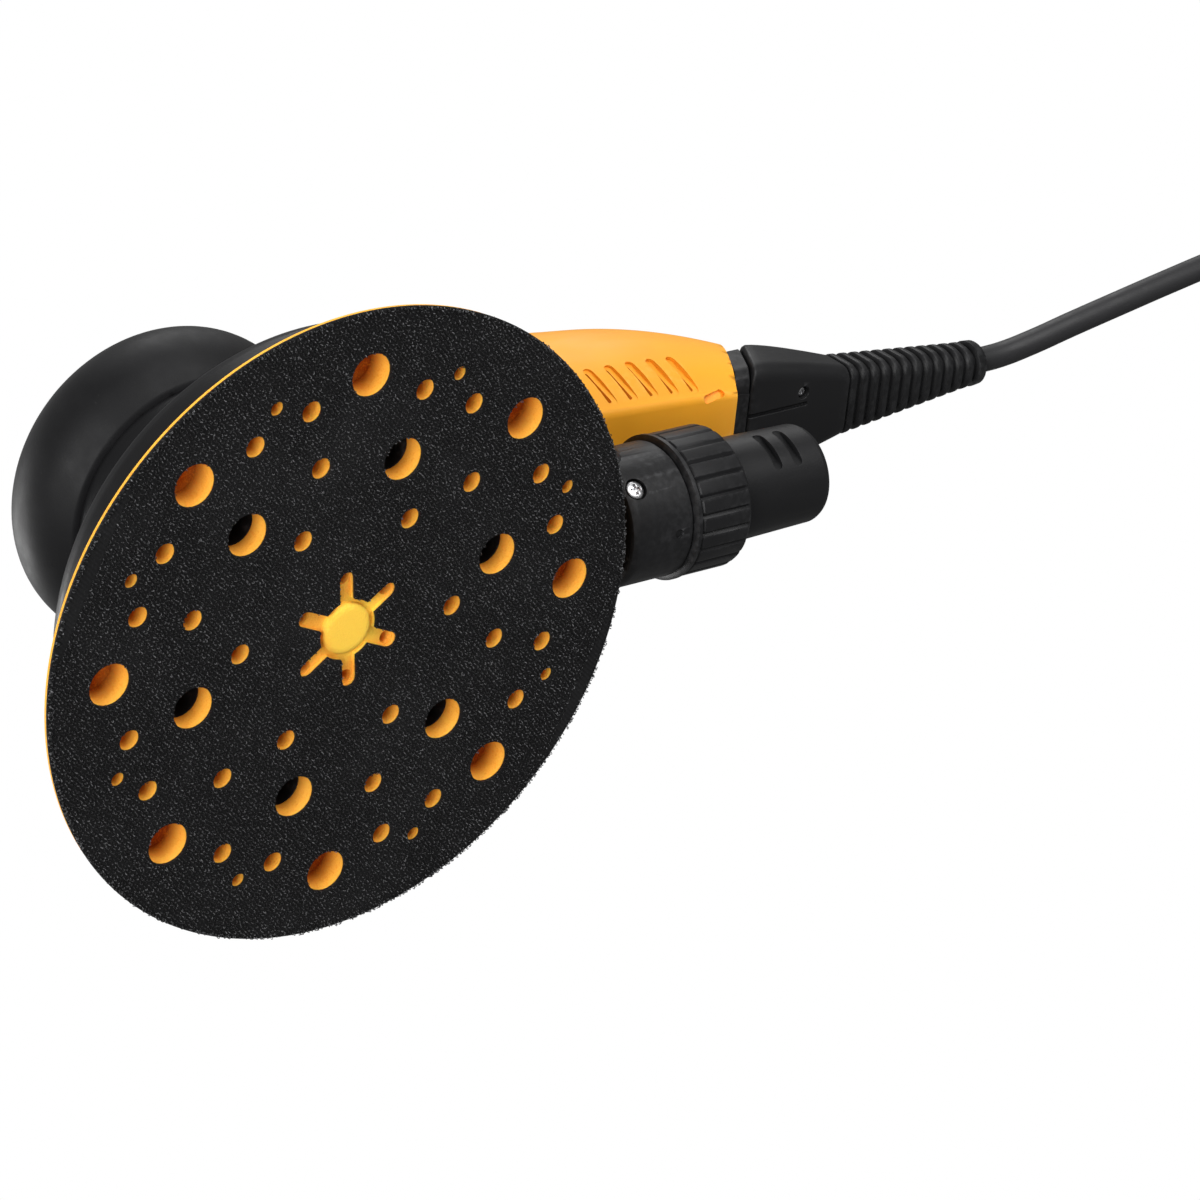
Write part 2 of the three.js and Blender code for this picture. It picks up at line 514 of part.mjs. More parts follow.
// ---- lever, buttons and control panel ----
function lever() {
  const { front, rear, half, frontLow, rearLow, frontTop, rearTop } = LEVER;
  const profile = [[front, frontLow], [front, frontTop - 2.2], [front + 3, frontTop - 0.6],
    [front + 12, frontTop], [rear - 20, frontTop], [rear - 6, rearTop + 0.4], [rear, rearTop - 2.4],
    [rear, rearLow]];
  const plate = lofted([-half, -half + 1.6, half - 1.6, half].map((x) => profile
    .map(([y, z]) => new THREE.Vector3(x, y, Math.abs(x) === half ? Math.min(z, frontTop - 2.6) : z))));
  const lug = { x0: 6.5, x1: 10.5, r: 3.6 };
  const magnet = { y: 100, r: 2.5, low: 85.2, high: 87.2 };
  let body = plate;
  for (const side of [-1, 1]) {
    const [x0, x1] = [lug.x0 * side, lug.x1 * side].sort((a, b) => a - b);
    body = body.add(box(x0, x1, HINGE.y - lug.r, HINGE.y + lug.r, HINGE.z, frontLow + 1.5))
      .add(cylinderAlongX(lug.r, x0, x1, HINGE.y, HINGE.z, 16));
  }
  body = body.subtract(cylinderAlongX(HINGE.bore, -13, 13, HINGE.y, HINGE.z))
    .subtract(cylinder(magnet.r + CLEAR, 80, magnet.high + CLEAR, 0, magnet.y, 14));
  put('lever', body, COLOUR.black, 0, 0.5);
  put('lever_pin', cylinderAlongX(HINGE.pinR, -15.4, 15.4, HINGE.y, HINGE.z), COLOUR.steel, 1, 0.3);
  put('lever_magnet', cylinder(magnet.r, magnet.low, magnet.high, 0, magnet.y, 14), COLOUR.magnet, 0.8);
}

// The panel's frame: its origin is the middle of the face, +Z out of it.
function panelPlace() {
  const place = new THREE.Object3D();
  place.position.set(0, PANEL.y, PANEL.z);
  place.rotation.x = -PANEL.tilt;
  place.updateMatrix();
  return place.matrix;
}

function panelBlock(grow, above) {
  return box(-PANEL.half - grow, PANEL.half + grow, -PANEL.long / 2 - grow, PANEL.long / 2 + grow,
    -5.4 - grow, above);
}

function controls() {
  const buttons = [
    { name: 'power_button', x: 0, y: 3.4, r: 3.6 },
    { name: 'speed_up_button', x: 5.2, y: -4.4, r: 2.6 },
    { name: 'speed_down_button', x: -5.2, y: -4.4, r: 2.6 },
  ];
  const lamp = { x: 0, y: -4.4, r: 1.2 };
  const place = panelPlace();
  let panel = panelBlock(0, 0);
  for (const { x, y, r } of [...buttons, lamp]) {
    panel = panel.subtract(cylinder(r + CLEAR, -4.6, 1, x, y, 16));
  }
  put('control_panel', placed(panel, place), COLOUR.black, 0, 0.5);
  for (const { name, x, y, r } of buttons) {
    put(name, placed(cylinder(r, -2.8, 0.9, x, y, 16, r * 0.94), place), COLOUR.grey, 0, 0.5);
  }
  put('status_lamp', placed(cylinder(lamp.r, -4.2, 0.2, lamp.x, lamp.y, 10), place), 0x59d46a, 0, 0.2);
}

// ---- cable inlet, connector and strain relief ----
// A rounded rectangle around (0, zc) in a plane that leans like the handle's rim.
function plugRing(y, halfWide, low, high, corner, lean = 0, perCorner = 3) {
  const points = [];
  const zc = (low + high) / 2;
  const centres = [[halfWide - corner, high - corner, 0], [corner - halfWide, high - corner, 1],
    [corner - halfWide, low + corner, 2], [halfWide - corner, low + corner, 3]];
  for (const [cx, cz, quarter] of centres) {
    for (let k = 0; k < perCorner; k += 1) {
      const angle = ((quarter + k / (perCorner - 1)) * Math.PI) / 2;
      const z = cz + corner * Math.sin(angle);
      points.push(new THREE.Vector3(cx + corner * Math.cos(angle), y + (z - zc) * lean, z));
    }
  }
  return points;
}

function connector() {
  const socketFront = 122;
  const joint = 5.4;
  const socket = lofted([plugRing(socketFront, 12.5, 45, 61, 4),
    plugRing(behindRim(53, joint), 12.4, 45, 61, 4, RIM.lean)]);
  const flange = lofted([plugRing(behindRim(53, CLEAR + 0.1), 14.8, 45.4, 60.8, 4, RIM.lean),
    plugRing(behindRim(53, joint), 14.8, 45.4, 60.8, 4, RIM.lean)]);
  put('inlet_socket', socket.intersect(handleSolid(SKIN + CLEAR)).add(flange), COLOUR.black, 0, 0.6);
  const screw = { x: 6, y: 161, z: 45.9, r: 1.3 };
  const rear = { y: RELIEF.start - CLEAR, half: 9.4, low: 45.6, high: 58 };
  const lip = { y: behindRim(53.1, joint + CLEAR), half: 15.4, low: 45.2, high: 61, corner: 4 };
  const body = lofted([plugRing(lip.y, lip.half - 1, lip.low + 0.6, lip.high - 0.6, lip.corner, RIM.lean),
    plugRing(lip.y + 2, lip.half, lip.low, lip.high, lip.corner, RIM.lean * 0.8),
    plugRing(rear.y, rear.half, rear.low, rear.high, 3.5)])
    .subtract(cylinder(screw.r + CLEAR, 40, screw.z + 1.6, screw.x, screw.y, 14));
  put('connector_body', body, COLOUR.black, 0, 0.5);
  const turnOver = new THREE.Matrix4().makeRotationX(Math.PI)
    .setPosition(screw.x, screw.y, screw.z + 0.2);
  put('connector_screw', placed(crossHead(screw.r, 0.9), turnOver), COLOUR.steel, 1, 0.3);
}

function strainRelief() {
  const { start, end, z, ribs, tipR } = RELIEF;
  const pitch = (end - 3 - start) / ribs;
  const groove = 0.9;
  const rings = [];
  const ringAt = (y, inset) => {
    const t = (y - start) / (end - start);
    const half = THREE.MathUtils.lerp(9.4, tipR, t) - inset;
    const high = THREE.MathUtils.lerp(6.2, tipR, t) - inset;
    const corner = Math.min(half, high) * THREE.MathUtils.lerp(0.5, 0.7, t);
    return plugRing(y, half, z - high, z + high, corner, 0, 2);
  };
  for (let k = 0; k < ribs; k += 1) {
    const y = start + k * pitch;
    rings.push(ringAt(y, 0), ringAt(y + pitch * 0.5, 0), ringAt(y + pitch * 0.65, groove),
      ringAt(y + pitch * 0.9, groove));
  }
  rings.push(ringAt(end - 3, -0.2), ringAt(end, -0.2));
  put('strain_relief', lofted(rings), COLOUR.rubber, 0, 0.7);
}

// ---- mains cable ----
// The cable's centre line from the strain relief to the coil and from the coil to the plug.
const CORD_LEAD = [[0, 223.2, 51.8], [0.5, 232, 51.5], [2.6, 241, 50.4], [6.4, 252, 48.3],
  [11, 264, 45.2], [16.4, 276, 41], [22.5, 288, 35.6], [29, 299, 28.8], [35.6, 309, 21],
  [42.2, 317.6, 13.6], [49, 325, 8], [56.5, 331, 4.6], [63.5, 335.1, 3.6]];
const CORD_TAIL = [[-1.3, 387, 3.6], [-1.5, 380.5, 3.9], [-1.7, 374, 5.1], [-1.9, 367.5, 7.1],
  [-2, 361.8, 8.6], [-2, 358, 8.9]];

function cordTube(name, route, steps) {
  const curve = new THREE.CatmullRomCurve3(route.map((p) => new THREE.Vector3(...p)));
  const circle = new THREE.Shape();
  circle.absarc(0, 0, CORD_R, 0, 2 * Math.PI);
  put(name, solid(new THREE.ExtrudeGeometry(circle, { steps, extrudePath: curve, curveSegments: 4 })),
    COLOUR.rubber, 0, 0.6);
}

// A box around the bundle on the coil's far side, drawn in from its surface by the given depth.
function bundleBox(depth, long) {
  const y = COIL.y + COIL.r;
  const wide = COIL.halfWide - depth;
  return box(COIL.x - long, COIL.x + long, y - wide, y + wide, COIL.low + depth, COIL.top - depth);
}

function cable() {
  cordTube('cord_lead', CORD_LEAD, 20);
  cordTube('cord_tail', CORD_TAIL, 4);
  const { x, y, r, halfWide, low, top } = COIL;
  const bevel = 3;
  const wound = turned([[r - halfWide, low], [r + halfWide, low], [r + halfWide, top - bevel],
    [r + halfWide - bevel, top], [r - halfWide + bevel, top], [r - halfWide, top - bevel]], 32, x, y);
  const room = box(x - TIE.half - CLEAR, x + TIE.half + CLEAR, y, y + 2 * r, -1, 40)
    .subtract(bundleBox(TIE.thick + CLEAR, TIE.half + 1));
  put('cord_coil', wound.subtract(room), COLOUR.rubber, 0, 0.6);
  put('cord_tie', bundleBox(0, TIE.half).subtract(bundleBox(TIE.thick, TIE.half + 1)),
    COLOUR.rubber, 0, 0.9);
  const plugY = (y0, half, thick) => plugRing(y0, half, PLUG.z - thick, PLUG.z + thick, thick * 0.8)
    .map((p) => p.add(new THREE.Vector3(PLUG.x, 0, 0)));
  const { face, half, thick, tail } = PLUG;
  put('plug_body', lofted([plugY(face, half, thick), plugY(face + 14, half, thick), plugY(face + 24, 10, 7),
    plugY(tail, 5, 4.6)]), COLOUR.black, 0, 0.6);
  for (const [k, side] of [[1, -1], [2, 1]]) {
    put(`plug_pin_${k}`, cylinderAlongY(PLUG.pinR, PLUG.face - CLEAR - PLUG.pinLength, PLUG.face - CLEAR,
      PLUG.x + side * PLUG.pinX, PLUG.z, 12), COLOUR.steel, 1, 0.3);
  }
}

pad();
rotor();
motor();
head();
shroud();
outlet();
collar();
nozzle();
handle();
inside();
lever();
controls();
connector();
strainRelief();
cable();

export default model;
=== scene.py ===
import json
from math import asin, atan2, cos, degrees, hypot, pi, radians, sin

import bmesh
import bpy
import numpy as np
from mathutils import Matrix, Vector


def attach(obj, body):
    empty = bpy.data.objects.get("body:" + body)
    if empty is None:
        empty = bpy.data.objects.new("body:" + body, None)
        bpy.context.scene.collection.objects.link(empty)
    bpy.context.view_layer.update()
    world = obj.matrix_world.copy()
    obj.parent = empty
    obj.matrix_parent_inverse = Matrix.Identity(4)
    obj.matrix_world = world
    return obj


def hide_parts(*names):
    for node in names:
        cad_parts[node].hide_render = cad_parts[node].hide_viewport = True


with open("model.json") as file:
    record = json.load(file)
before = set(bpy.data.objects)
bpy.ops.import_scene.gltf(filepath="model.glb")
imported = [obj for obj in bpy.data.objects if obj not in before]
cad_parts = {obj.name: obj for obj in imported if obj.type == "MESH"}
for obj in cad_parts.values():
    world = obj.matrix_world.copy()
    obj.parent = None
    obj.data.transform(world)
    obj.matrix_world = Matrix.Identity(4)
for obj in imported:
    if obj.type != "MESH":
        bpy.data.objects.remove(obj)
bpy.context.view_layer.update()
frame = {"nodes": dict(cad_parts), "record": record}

# A random-orbital sander. Lengths are millimetres, and a mesh is scaled to metres when it is made.
# The camera, the floor, the lights and the ranges of the foam's colours are in metres.
MM = 0.001

CLEAR = 0.3
ORBIT = 2.5
PAD = {"r": 75.0, "hook_low": 0.55, "hook_top": 1.3, "foam_low": 1.5, "foam_top": 11.2,
       "foam_top_r": 64.5, "plate_r": 62.5, "plate_top": 14.6, "boss_r": 14.0, "boss_top": 18.2,
       "bore": 4.4, "blind_top": 8.5, "hub_r": 7.0}
HOLES = [  # pitch radius, count, first angle, radius, through
    (60.0, 8, 1.0, 5.0, False),
    (40.0, 6, 16.0, 5.0, True),
    (27.6, 6, 31.0, 2.5, False),
    (41.8, 6, 46.0, 2.5, False),
    (56.0, 8, 16.0, 2.5, False),
    (56.0, 8, 31.0, 2.5, False),
    (61.0, 8, 23.5, 1.7, False),
]
SLEEVE = {"r": 5.6, "bore": 5.0, "low": 6.9}
STAR = {"arms": 6, "first": -6.0, "end": 14.3, "half": 1.9, "disc": 5.6, "shallow": 0.75, "deep": 4.5}
HOOK = {"kinds": 12, "pitch": 0.98, "root": 0.6, "lean": 23.0, "strays": 900, "seed": 7}
NECK_R = 31.2
SHROUD_R = 62.5
DOME = {"r": 38.3, "half": 22.7, "z": 78.5, "wall": 2.4, "lip": 66.4}
OUTLET = {"z": 20.0, "r": 16.0, "bore": 13.8, "start": 78.0, "end": 95.2}
DUCT = {"half": 19.6, "low": 17.2, "high": 33.6, "start": 53.0, "corner": 2.2}
COLLAR = {"start": 95.5, "end": 112.4, "r": 16.2, "rib": 0.75, "bore": 12.9, "ribs": 24, "flange": 1.6}
NOZZLE = {"start": 97.0, "end": 139.6, "r": 12.4, "tip": 11.8, "bore": 9.6, "slots": (125.0, 131.0)}
RIM = {"y": 136.0, "z": 41.0, "lean": 0.5}
SOCKET = {"half": 12.5, "low": 45.0, "high": 61.0, "joint": 5.4}
CONNECTOR = {"lip_half": 15.4, "rear_half": 9.4, "lip_low": 45.2, "rear_low": 45.6, "lip_high": 61.0,
             "rear_high": 58.0, "screw": (6.0, 161.0, 45.9)}
HINGE = {"y": 46.0, "z": 83.6, "ear": 3.6, "bore": 2.3}
LEVER = {"front": 41.0, "rear": 117.0, "half": 12.0, "low": 87.0, "rear_low": 84.2, "top": 92.0,
         "rear_top": 90.8}
PANEL = {"y": 129.6, "z": 74.4, "long": 17.0, "half": 10.0, "tilt": 0.214}
BUTTONS = {"power_button": (0.0, 3.4, 3.6), "speed_up_button": (5.2, -4.4, 2.6),
           "speed_down_button": (-5.2, -4.4, 2.6)}
LAMP = (0.0, -4.4, 1.2)
RELIEF = {"start": 176.6, "end": 222.8, "z": 51.8, "ribs": 12, "tip": 5.3}
VENT = {"count": 5, "y": 97.0, "pitch": 6.4, "z": 45.0, "rise": 0.35, "wide": 2.1, "tall": 10.8,
        "deep": 1.15, "lean": 0.18, "lay": 0.45}
HANDLE = [  # y, half width at the lower edge, greatest half width, heights: underside, widest line, top
    (18, 26, 29.5, 37.6, 70, 89), (40, 24, 31.5, 37.6, 69, 87), (60, 21, 29, 37.6, 67, 84.5),
    (80, 18.5, 26.5, 37.8, 65, 81.5), (95, 17.2, 25, 38.2, 63.5, 79), (110, 16, 23.8, 38.9, 62.5, 76.8),
    (122, 14.8, 22, 39.7, 61, 75), (134, 13.2, 19.2, 40.6, 59.5, 72.4), (145, 11.4, 16, 42, 57.5, 68.6),
    (156, 9.5, 12.2, 43.5, 55, 63.5),
]
SCREW_SEATS = [(70, 74, 25.4), (72, 48, 23.0), (116, 68, 21.0), (118, 48, 17.9)]  # y, z and distance left

# The cord: two listed stretches, and between them a coil that coil_route() works out.
CORD_R = 3.25
CORD_LEAD = [(0, 223.2, 51.8), (0.5, 232, 51.5), (2.6, 241, 50.4), (6.4, 252, 48.3), (11, 264, 45.2),
             (16.4, 276, 41), (22.5, 288, 35.6), (29, 299, 28.8), (35.6, 309, 21), (42.2, 317.6, 13.6),
             (49, 325, 8), (56.5, 331, 4.6), (63.5, 335.1, 3.6)]
CORD_TAIL = [(-1.3, 387, 3.6), (-1.5, 380.5, 3.9), (-1.7, 374, 5.1), (-1.9, 367.5, 7.1), (-2, 361.8, 8.6),
             (-2, 358, 8.9)]
COIL = {"x": 56.0, "y": 392.0, "r": 40.0, "pitch": 6.6, "low": 3.45, "start": -50.0, "window": 130.0}
TIE = {"half": 6.0, "thick": 0.9, "squeeze": 0.045, "corner": 3.4}
PLUG = {"x": -2.0, "z": 8.9, "tail": 357.5, "face": 322.0, "half": 17.5, "thick": 8.4, "pin_r": 2.4,
        "pin_x": 9.5, "pin_long": 19.0}


def added(name, data):
    """A new object in the scene."""
    obj = bpy.data.objects.new(name, data)
    bpy.context.scene.collection.objects.link(obj)
    return obj


# ---- camera ----
def camera():
    """A long lens below the pad, looking up at its hook face."""
    place = Vector((0.439624, -0.505937, -0.689986))
    target = Vector((-0.007229, 0.065098, -0.001335))
    up = Vector((0.889685, 0.203023, 0.408952))
    look = (target - place).normalized()
    right = look.cross(up).normalized()
    data = bpy.data.cameras.new("camera")
    data.lens = 133.483
    data.sensor_width = 36.0
    data.clip_start = 0.01
    obj = added("camera", data)
    turn = Matrix((right, right.cross(look), -look)).transposed().to_4x4()
    obj.matrix_world = Matrix.Translation(place) @ turn
    bpy.context.scene.camera = obj


# ---- materials ----
WAVE_PERIOD = 0.314  # metres from band to band of a wave texture of scale 1


class Finish:
    """A material whose nodes are added one by one. Noise sizes are in millimetres on the object."""

    def __init__(self, name, colour, roughness, metallic=0.0, specular=0.5):
        self.material = bpy.data.materials.new(name)
        self.material.use_nodes = True
        self.tree = self.material.node_tree
        self.shader = self.tree.nodes["Principled BSDF"]
        self.shader.inputs["Base Color"].default_value = (*colour, 1)
        self.shader.inputs["Roughness"].default_value = roughness
        self.shader.inputs["Metallic"].default_value = metallic
        self.shader.inputs["Specular IOR Level"].default_value = specular
        self.base = (*colour, 1)
        self.coordinate = self.node("ShaderNodeTexCoord").outputs["Object"]
        self.normal = None

    def node(self, kind, inputs=None, **settings):
        node = self.tree.nodes.new(kind)
        for key, value in settings.items():
            setattr(node, key, value)
        for key, value in (inputs or {}).items():
            node.inputs[key].default_value = value
        return node

    def link(self, source, socket):
        self.tree.links.new(source, socket)

    def noise(self, size, detail, stretch=(1, 1, 1)):
        mapping = self.node("ShaderNodeMapping", {"Scale": stretch})
        self.link(self.coordinate, mapping.inputs["Vector"])
        node = self.node("ShaderNodeTexNoise", {"Scale": 1 / (size * MM), "Detail": detail,
                                                "Roughness": 0.55})
        self.link(mapping.outputs["Vector"], node.inputs["Vector"])
        return node.outputs["Fac"]

    def cells(self, size):
        node = self.node("ShaderNodeTexVoronoi", {"Scale": 1 / (size * MM)})
        self.link(self.coordinate, node.inputs["Vector"])
        return node.outputs["Distance"]

    def wave(self, size, direction):
        node = self.node("ShaderNodeTexWave", {"Scale": WAVE_PERIOD / (size * MM)}, bands_direction=direction)
        self.link(self.coordinate, node.inputs["Vector"])
        return node.outputs["Fac"]

    def range(self, value, low, high, to_low=0.0, to_high=1.0):
        node = self.node("ShaderNodeMapRange", {"From Min": low, "From Max": high, "To Min": to_low,
                                                "To Max": to_high})
        self.link(value, node.inputs["Value"])
        return node.outputs["Result"]

    def times(self, first, second):
        node = self.node("ShaderNodeMath", operation="MULTIPLY")
        self.link(first, node.inputs[0])
        self.link(second, node.inputs[1])
        return node.outputs["Value"]

    def height(self, vector):
        node = self.node("ShaderNodeSeparateXYZ")
        self.link(vector, node.inputs["Vector"])
        return node.outputs["Z"]

    def edges(self):
        return self.range(self.node("ShaderNodeNewGeometry").outputs["Pointiness"], 0.52, 0.62)

    def tint(self, factor, colour):
        node = self.node("ShaderNodeMix", data_type="RGBA")
        self.link(factor, node.inputs[0])
        socket = self.shader.inputs["Base Color"]
        if socket.is_linked:
            self.link(socket.links[0].from_socket, node.inputs[6])
        else:
            node.inputs[6].default_value = self.base
        node.inputs[7].default_value = (*colour, 1)
        self.link(node.outputs[2], socket)

    def patches(self, size, detail, low, high, most, colour):
        """Tints where a noise lies above low, and by most where it lies above high."""
        self.tint(self.range(self.noise(size, detail), low, high, 0, most), colour)

    def roughen(self, factor, low, high):
        self.link(self.range(factor, 0.3, 0.7, low, high), self.shader.inputs["Roughness"])

    def bump(self, height, distance, strength=1.0):
        node = self.node("ShaderNodeBump", {"Distance": distance * MM, "Strength": strength})
        self.link(height, node.inputs["Height"])
        if self.normal:
            self.link(self.normal, node.inputs["Normal"])
        self.normal = node.outputs["Normal"]
        self.link(self.normal, self.shader.inputs["Normal"])


def plastic(name, colour, roughness, grain=0.35, depth=0.035, worn=None, specular=0.5):
    """Moulded plastic: a fine spark-eroded grain, slow tone changes and lighter worn edges."""
    finish = Finish(name, colour, roughness, specular=specular)
    finish.patches(26, 2, 0.35, 0.75, 0.7, tuple(0.82 * c for c in colour))
    finish.roughen(finish.noise(3.2, 4, (1, 0.22, 1)), roughness - 0.05, roughness + 0.08)
    if worn:
        marks = finish.times(finish.edges(), finish.range(finish.noise(1.6, 4), 0.42, 0.62))
        finish.tint(marks, worn)
    finish.bump(finish.noise(grain, 3), depth)
    finish.bump(finish.noise(14, 1), 0.06)
    return finish


def metal(name, colour, roughness, brush=(1, 1, 12)):
    finish = Finish(name, colour, roughness, metallic=1.0)
    streaks = finish.noise(0.9, 3, brush)
    finish.roughen(streaks, roughness - 0.06, roughness + 0.12)
    finish.patches(2.2, 4, 0.55, 0.8, 1, tuple(0.55 * c for c in colour))
    finish.bump(streaks, 0.012)
    return finish


def yellow_shell():
    """The handle's warm yellow plastic, with a thin clear coat and a little light through it."""
    finish = plastic("yellow_shell", (1.0, 0.42, 0.022), 0.46, 0.4, 0.03, (1.0, 0.55, 0.12), 0.35)
    finish.patches(0.7, 5, 0.68, 0.84, 0.35, (0.62, 0.25, 0.03))
    finish.shader.inputs["Coat Weight"].default_value = 0.12
    finish.shader.inputs["Coat Roughness"].default_value = 0.3
    finish.shader.inputs["Subsurface Weight"].default_value = 0.06
    finish.shader.inputs["Subsurface Scale"].default_value = 0.0012
    return finish


def foam():
    """Fine open-cell foam: a deeper orange painted deep inside the holes as shade, and a paler disc in the
    middle.
    """
    finish = Finish("pad_foam", (1.0, 0.47, 0.055), 0.85, specular=0.25)
    flat = finish.node("ShaderNodeVectorMath", operation="MULTIPLY")
    flat.inputs[1].default_value = (1, 1, 0)
    finish.link(finish.coordinate, flat.inputs[0])
    away = finish.node("ShaderNodeVectorMath", operation="LENGTH")
    finish.link(flat.outputs["Vector"], away.inputs[0])
    # Painted shade: faces that look sideways or down darken towards brown-orange the deeper they lie in a
    # hole.
    depth = finish.range(finish.height(finish.coordinate), 0.0028, 0.0088)
    normal = finish.node("ShaderNodeNewGeometry").outputs["Normal"]
    inside = finish.range(finish.height(normal), 0.3, 0.1)
    finish.tint(finish.times(finish.times(depth, depth), inside), (0.3, 0.036, 0.0015))
    finish.tint(finish.range(finish.cells(0.42), 0.5, 0.95, 0, 0.55), (0.86, 0.28, 0.015))
    finish.patches(9, 3, 0.5, 0.8, 0.4, (1.0, 0.55, 0.09))
    finish.tint(finish.range(away.outputs["Value"], 0.0095, 0.0065, 0, 0.85), (1.0, 0.63, 0.07))
    finish.bump(finish.cells(0.42), 0.12, 0.9)
    finish.bump(finish.noise(0.24, 3), 0.05)
    finish.shader.inputs["Subsurface Weight"].default_value = 0.22
    finish.shader.inputs["Subsurface Scale"].default_value = 0.002
    return finish


def hook_fabric():
    """Black fabric under the hooks: a tight knit with dust-grey specks."""
    finish = Finish("hook_fabric", (0.005, 0.005, 0.0054), 0.85, specular=0.15)
    finish.patches(0.5, 4, 0.56, 0.72, 0.75, (0.03, 0.03, 0.031))
    finish.patches(30, 2, 0.45, 0.7, 0.35, (0.02, 0.02, 0.021))
    finish.bump(finish.wave(0.62, "DIAGONAL"), 0.16)
    finish.bump(finish.noise(0.35, 4), 0.14)
    finish.shader.inputs["Sheen Weight"].default_value = 0.04
    finish.shader.inputs["Sheen Roughness"].default_value = 0.45
    return finish


def hook_fibre():
    """Nylon monofilament of the hooks, near black with a dull shine."""
    finish = Finish("hook_fibre", (0.006, 0.006, 0.0064), 0.42, specular=0.35)
    finish.patches(0.55, 3, 0.52, 0.62, 1.0, (0.17, 0.17, 0.176))
    finish.bump(finish.noise(0.15, 2), 0.02)
    return finish


def soft_rubber():
    """Soft-touch elastomer: matt, slightly dusty, with a leathery moulded grain."""
    finish = Finish("soft_rubber", (0.008, 0.008, 0.0086), 0.5, specular=0.15)
    finish.patches(18, 3, 0.45, 0.75, 0.6, (0.017, 0.017, 0.018))
    finish.patches(0.5, 5, 0.66, 0.8, 0.35, (0.06, 0.058, 0.055))
    finish.roughen(finish.noise(5, 4), 0.46, 0.58)
    finish.bump(finish.noise(0.45, 3), 0.03)
    finish.shader.inputs["Sheen Weight"].default_value = 0.02
    finish.shader.inputs["Sheen Roughness"].default_value = 0.5
    return finish


def cable_rubber():
    """The cable's sheath, dull and dusty."""
    finish = Finish("cable_rubber", (0.019, 0.019, 0.0202), 0.5, specular=0.3)
    finish.patches(1.2, 5, 0.62, 0.8, 0.4, (0.05, 0.05, 0.052))
    finish.roughen(finish.noise(6, 4), 0.42, 0.58)
    finish.bump(finish.noise(0.6, 4), 0.035)
    return finish


def tie_fabric():
    """Black hook-and-loop tape."""
    finish = Finish("tie_fabric", (0.013, 0.013, 0.014), 0.9, specular=0.2)
    finish.patches(0.4, 3, 0.5, 0.7, 0.7, (0.045, 0.045, 0.047))
    finish.bump(finish.wave(0.55, "DIAGONAL"), 0.12)
    finish.bump(finish.noise(0.3, 3), 0.1)
    finish.shader.inputs["Sheen Weight"].default_value = 0.25
    return finish


def copper():
    finish = metal("copper_winding", (0.72, 0.3, 0.11), 0.34, (1, 1, 0.15))
    finish.bump(finish.wave(0.55, "Z"), 0.2)
    return finish


def board():
    finish = Finish("circuit_board", (0.02, 0.13, 0.045), 0.32)
    finish.tint(finish.range(finish.wave(2.4, "DIAGONAL"), 0.7, 0.76, 0, 0.5), (0.03, 0.22, 0.08))
    finish.bump(finish.noise(0.5, 2), 0.02)
    return finish


def lamp_lens():
    finish = Finish("lamp_lens", (0.08, 0.55, 0.14), 0.12)
    finish.bump(finish.noise(0.8, 2), 0.02)
    finish.shader.inputs["Transmission Weight"].default_value = 0.3
    return finish


def mark_ink():
    finish = Finish("mark_ink", (0.62, 0.63, 0.64), 0.5)
    finish.patches(0.4, 4, 0.55, 0.75, 0.6, (0.4, 0.4, 0.41))
    finish.bump(finish.noise(0.2, 2), 0.02)
    return finish


def floor_material():
    """Pale matt floor, solid from above and clear from below, because the sander is seen from below."""
    finish = Finish("floor", (0.86, 0.86, 0.85), 0.8, specular=0.2)
    finish.patches(60, 4, 0.4, 0.7, 0.3, (0.8, 0.8, 0.79))
    finish.bump(finish.noise(2, 3), 0.02)
    clear = finish.node("ShaderNodeBsdfTransparent")
    mix = finish.node("ShaderNodeMixShader")
    back = finish.node("ShaderNodeNewGeometry").outputs["Backfacing"]
    finish.link(back, mix.inputs[0])
    finish.link(finish.shader.outputs[0], mix.inputs[1])
    finish.link(clear.outputs[0], mix.inputs[2])
    finish.link(mix.outputs[0], finish.tree.nodes["Material Output"].inputs["Surface"])
    return finish


FINISHES = {
    "yellow_shell": yellow_shell(),
    "pad_foam": foam(),
    "hook_fabric": hook_fabric(),
    "hook_fibre": hook_fibre(),
    "black_plastic": plastic("black_plastic", (0.0105, 0.0105, 0.0112), 0.42, worn=(0.04, 0.04, 0.042),
                             specular=0.2),
    "soft_rubber": soft_rubber(),
    "grey_plastic": plastic("grey_plastic", (0.075, 0.078, 0.083), 0.45, worn=(0.16, 0.16, 0.17)),
    "steel": metal("steel", (0.62, 0.62, 0.63), 0.28),
    "aluminium": metal("aluminium", (0.66, 0.67, 0.68), 0.4, (1, 1, 1)),
    "copper_winding": copper(),
    "magnet": plastic("magnet", (0.07, 0.075, 0.08), 0.4, 0.5, 0.02),
    "circuit_board": board(),
    "lamp_lens": lamp_lens(),
    "cable_rubber": cable_rubber(),
    "tie_fabric": tie_fabric(),
    "mark_ink": mark_ink(),
}


# ---- mesh tools ----
def build(name, points, faces, sharp=34.0):
    mesh = bpy.data.meshes.new(name)
    mesh.from_pydata([tuple(MM * c for c in p) for p in points], [], faces)
    obj = added(name, mesh)
    tidy(obj, sharp)
    return obj


def tidy(obj, sharp=34.0):
    """Merges double points, turns every face outwards and marks the sharp edges."""
    work = bmesh.new()
    work.from_mesh(obj.data)
    bmesh.ops.remove_doubles(work, verts=work.verts, dist=2e-6)
    bmesh.ops.dissolve_degenerate(work, dist=1e-6, edges=work.edges)
    bmesh.ops.recalc_face_normals(work, faces=work.faces)
    work.to_mesh(obj.data)
    work.free()
    obj.data.shade_smooth()
    obj.data.set_sharp_from_angle(angle=radians(sharp))


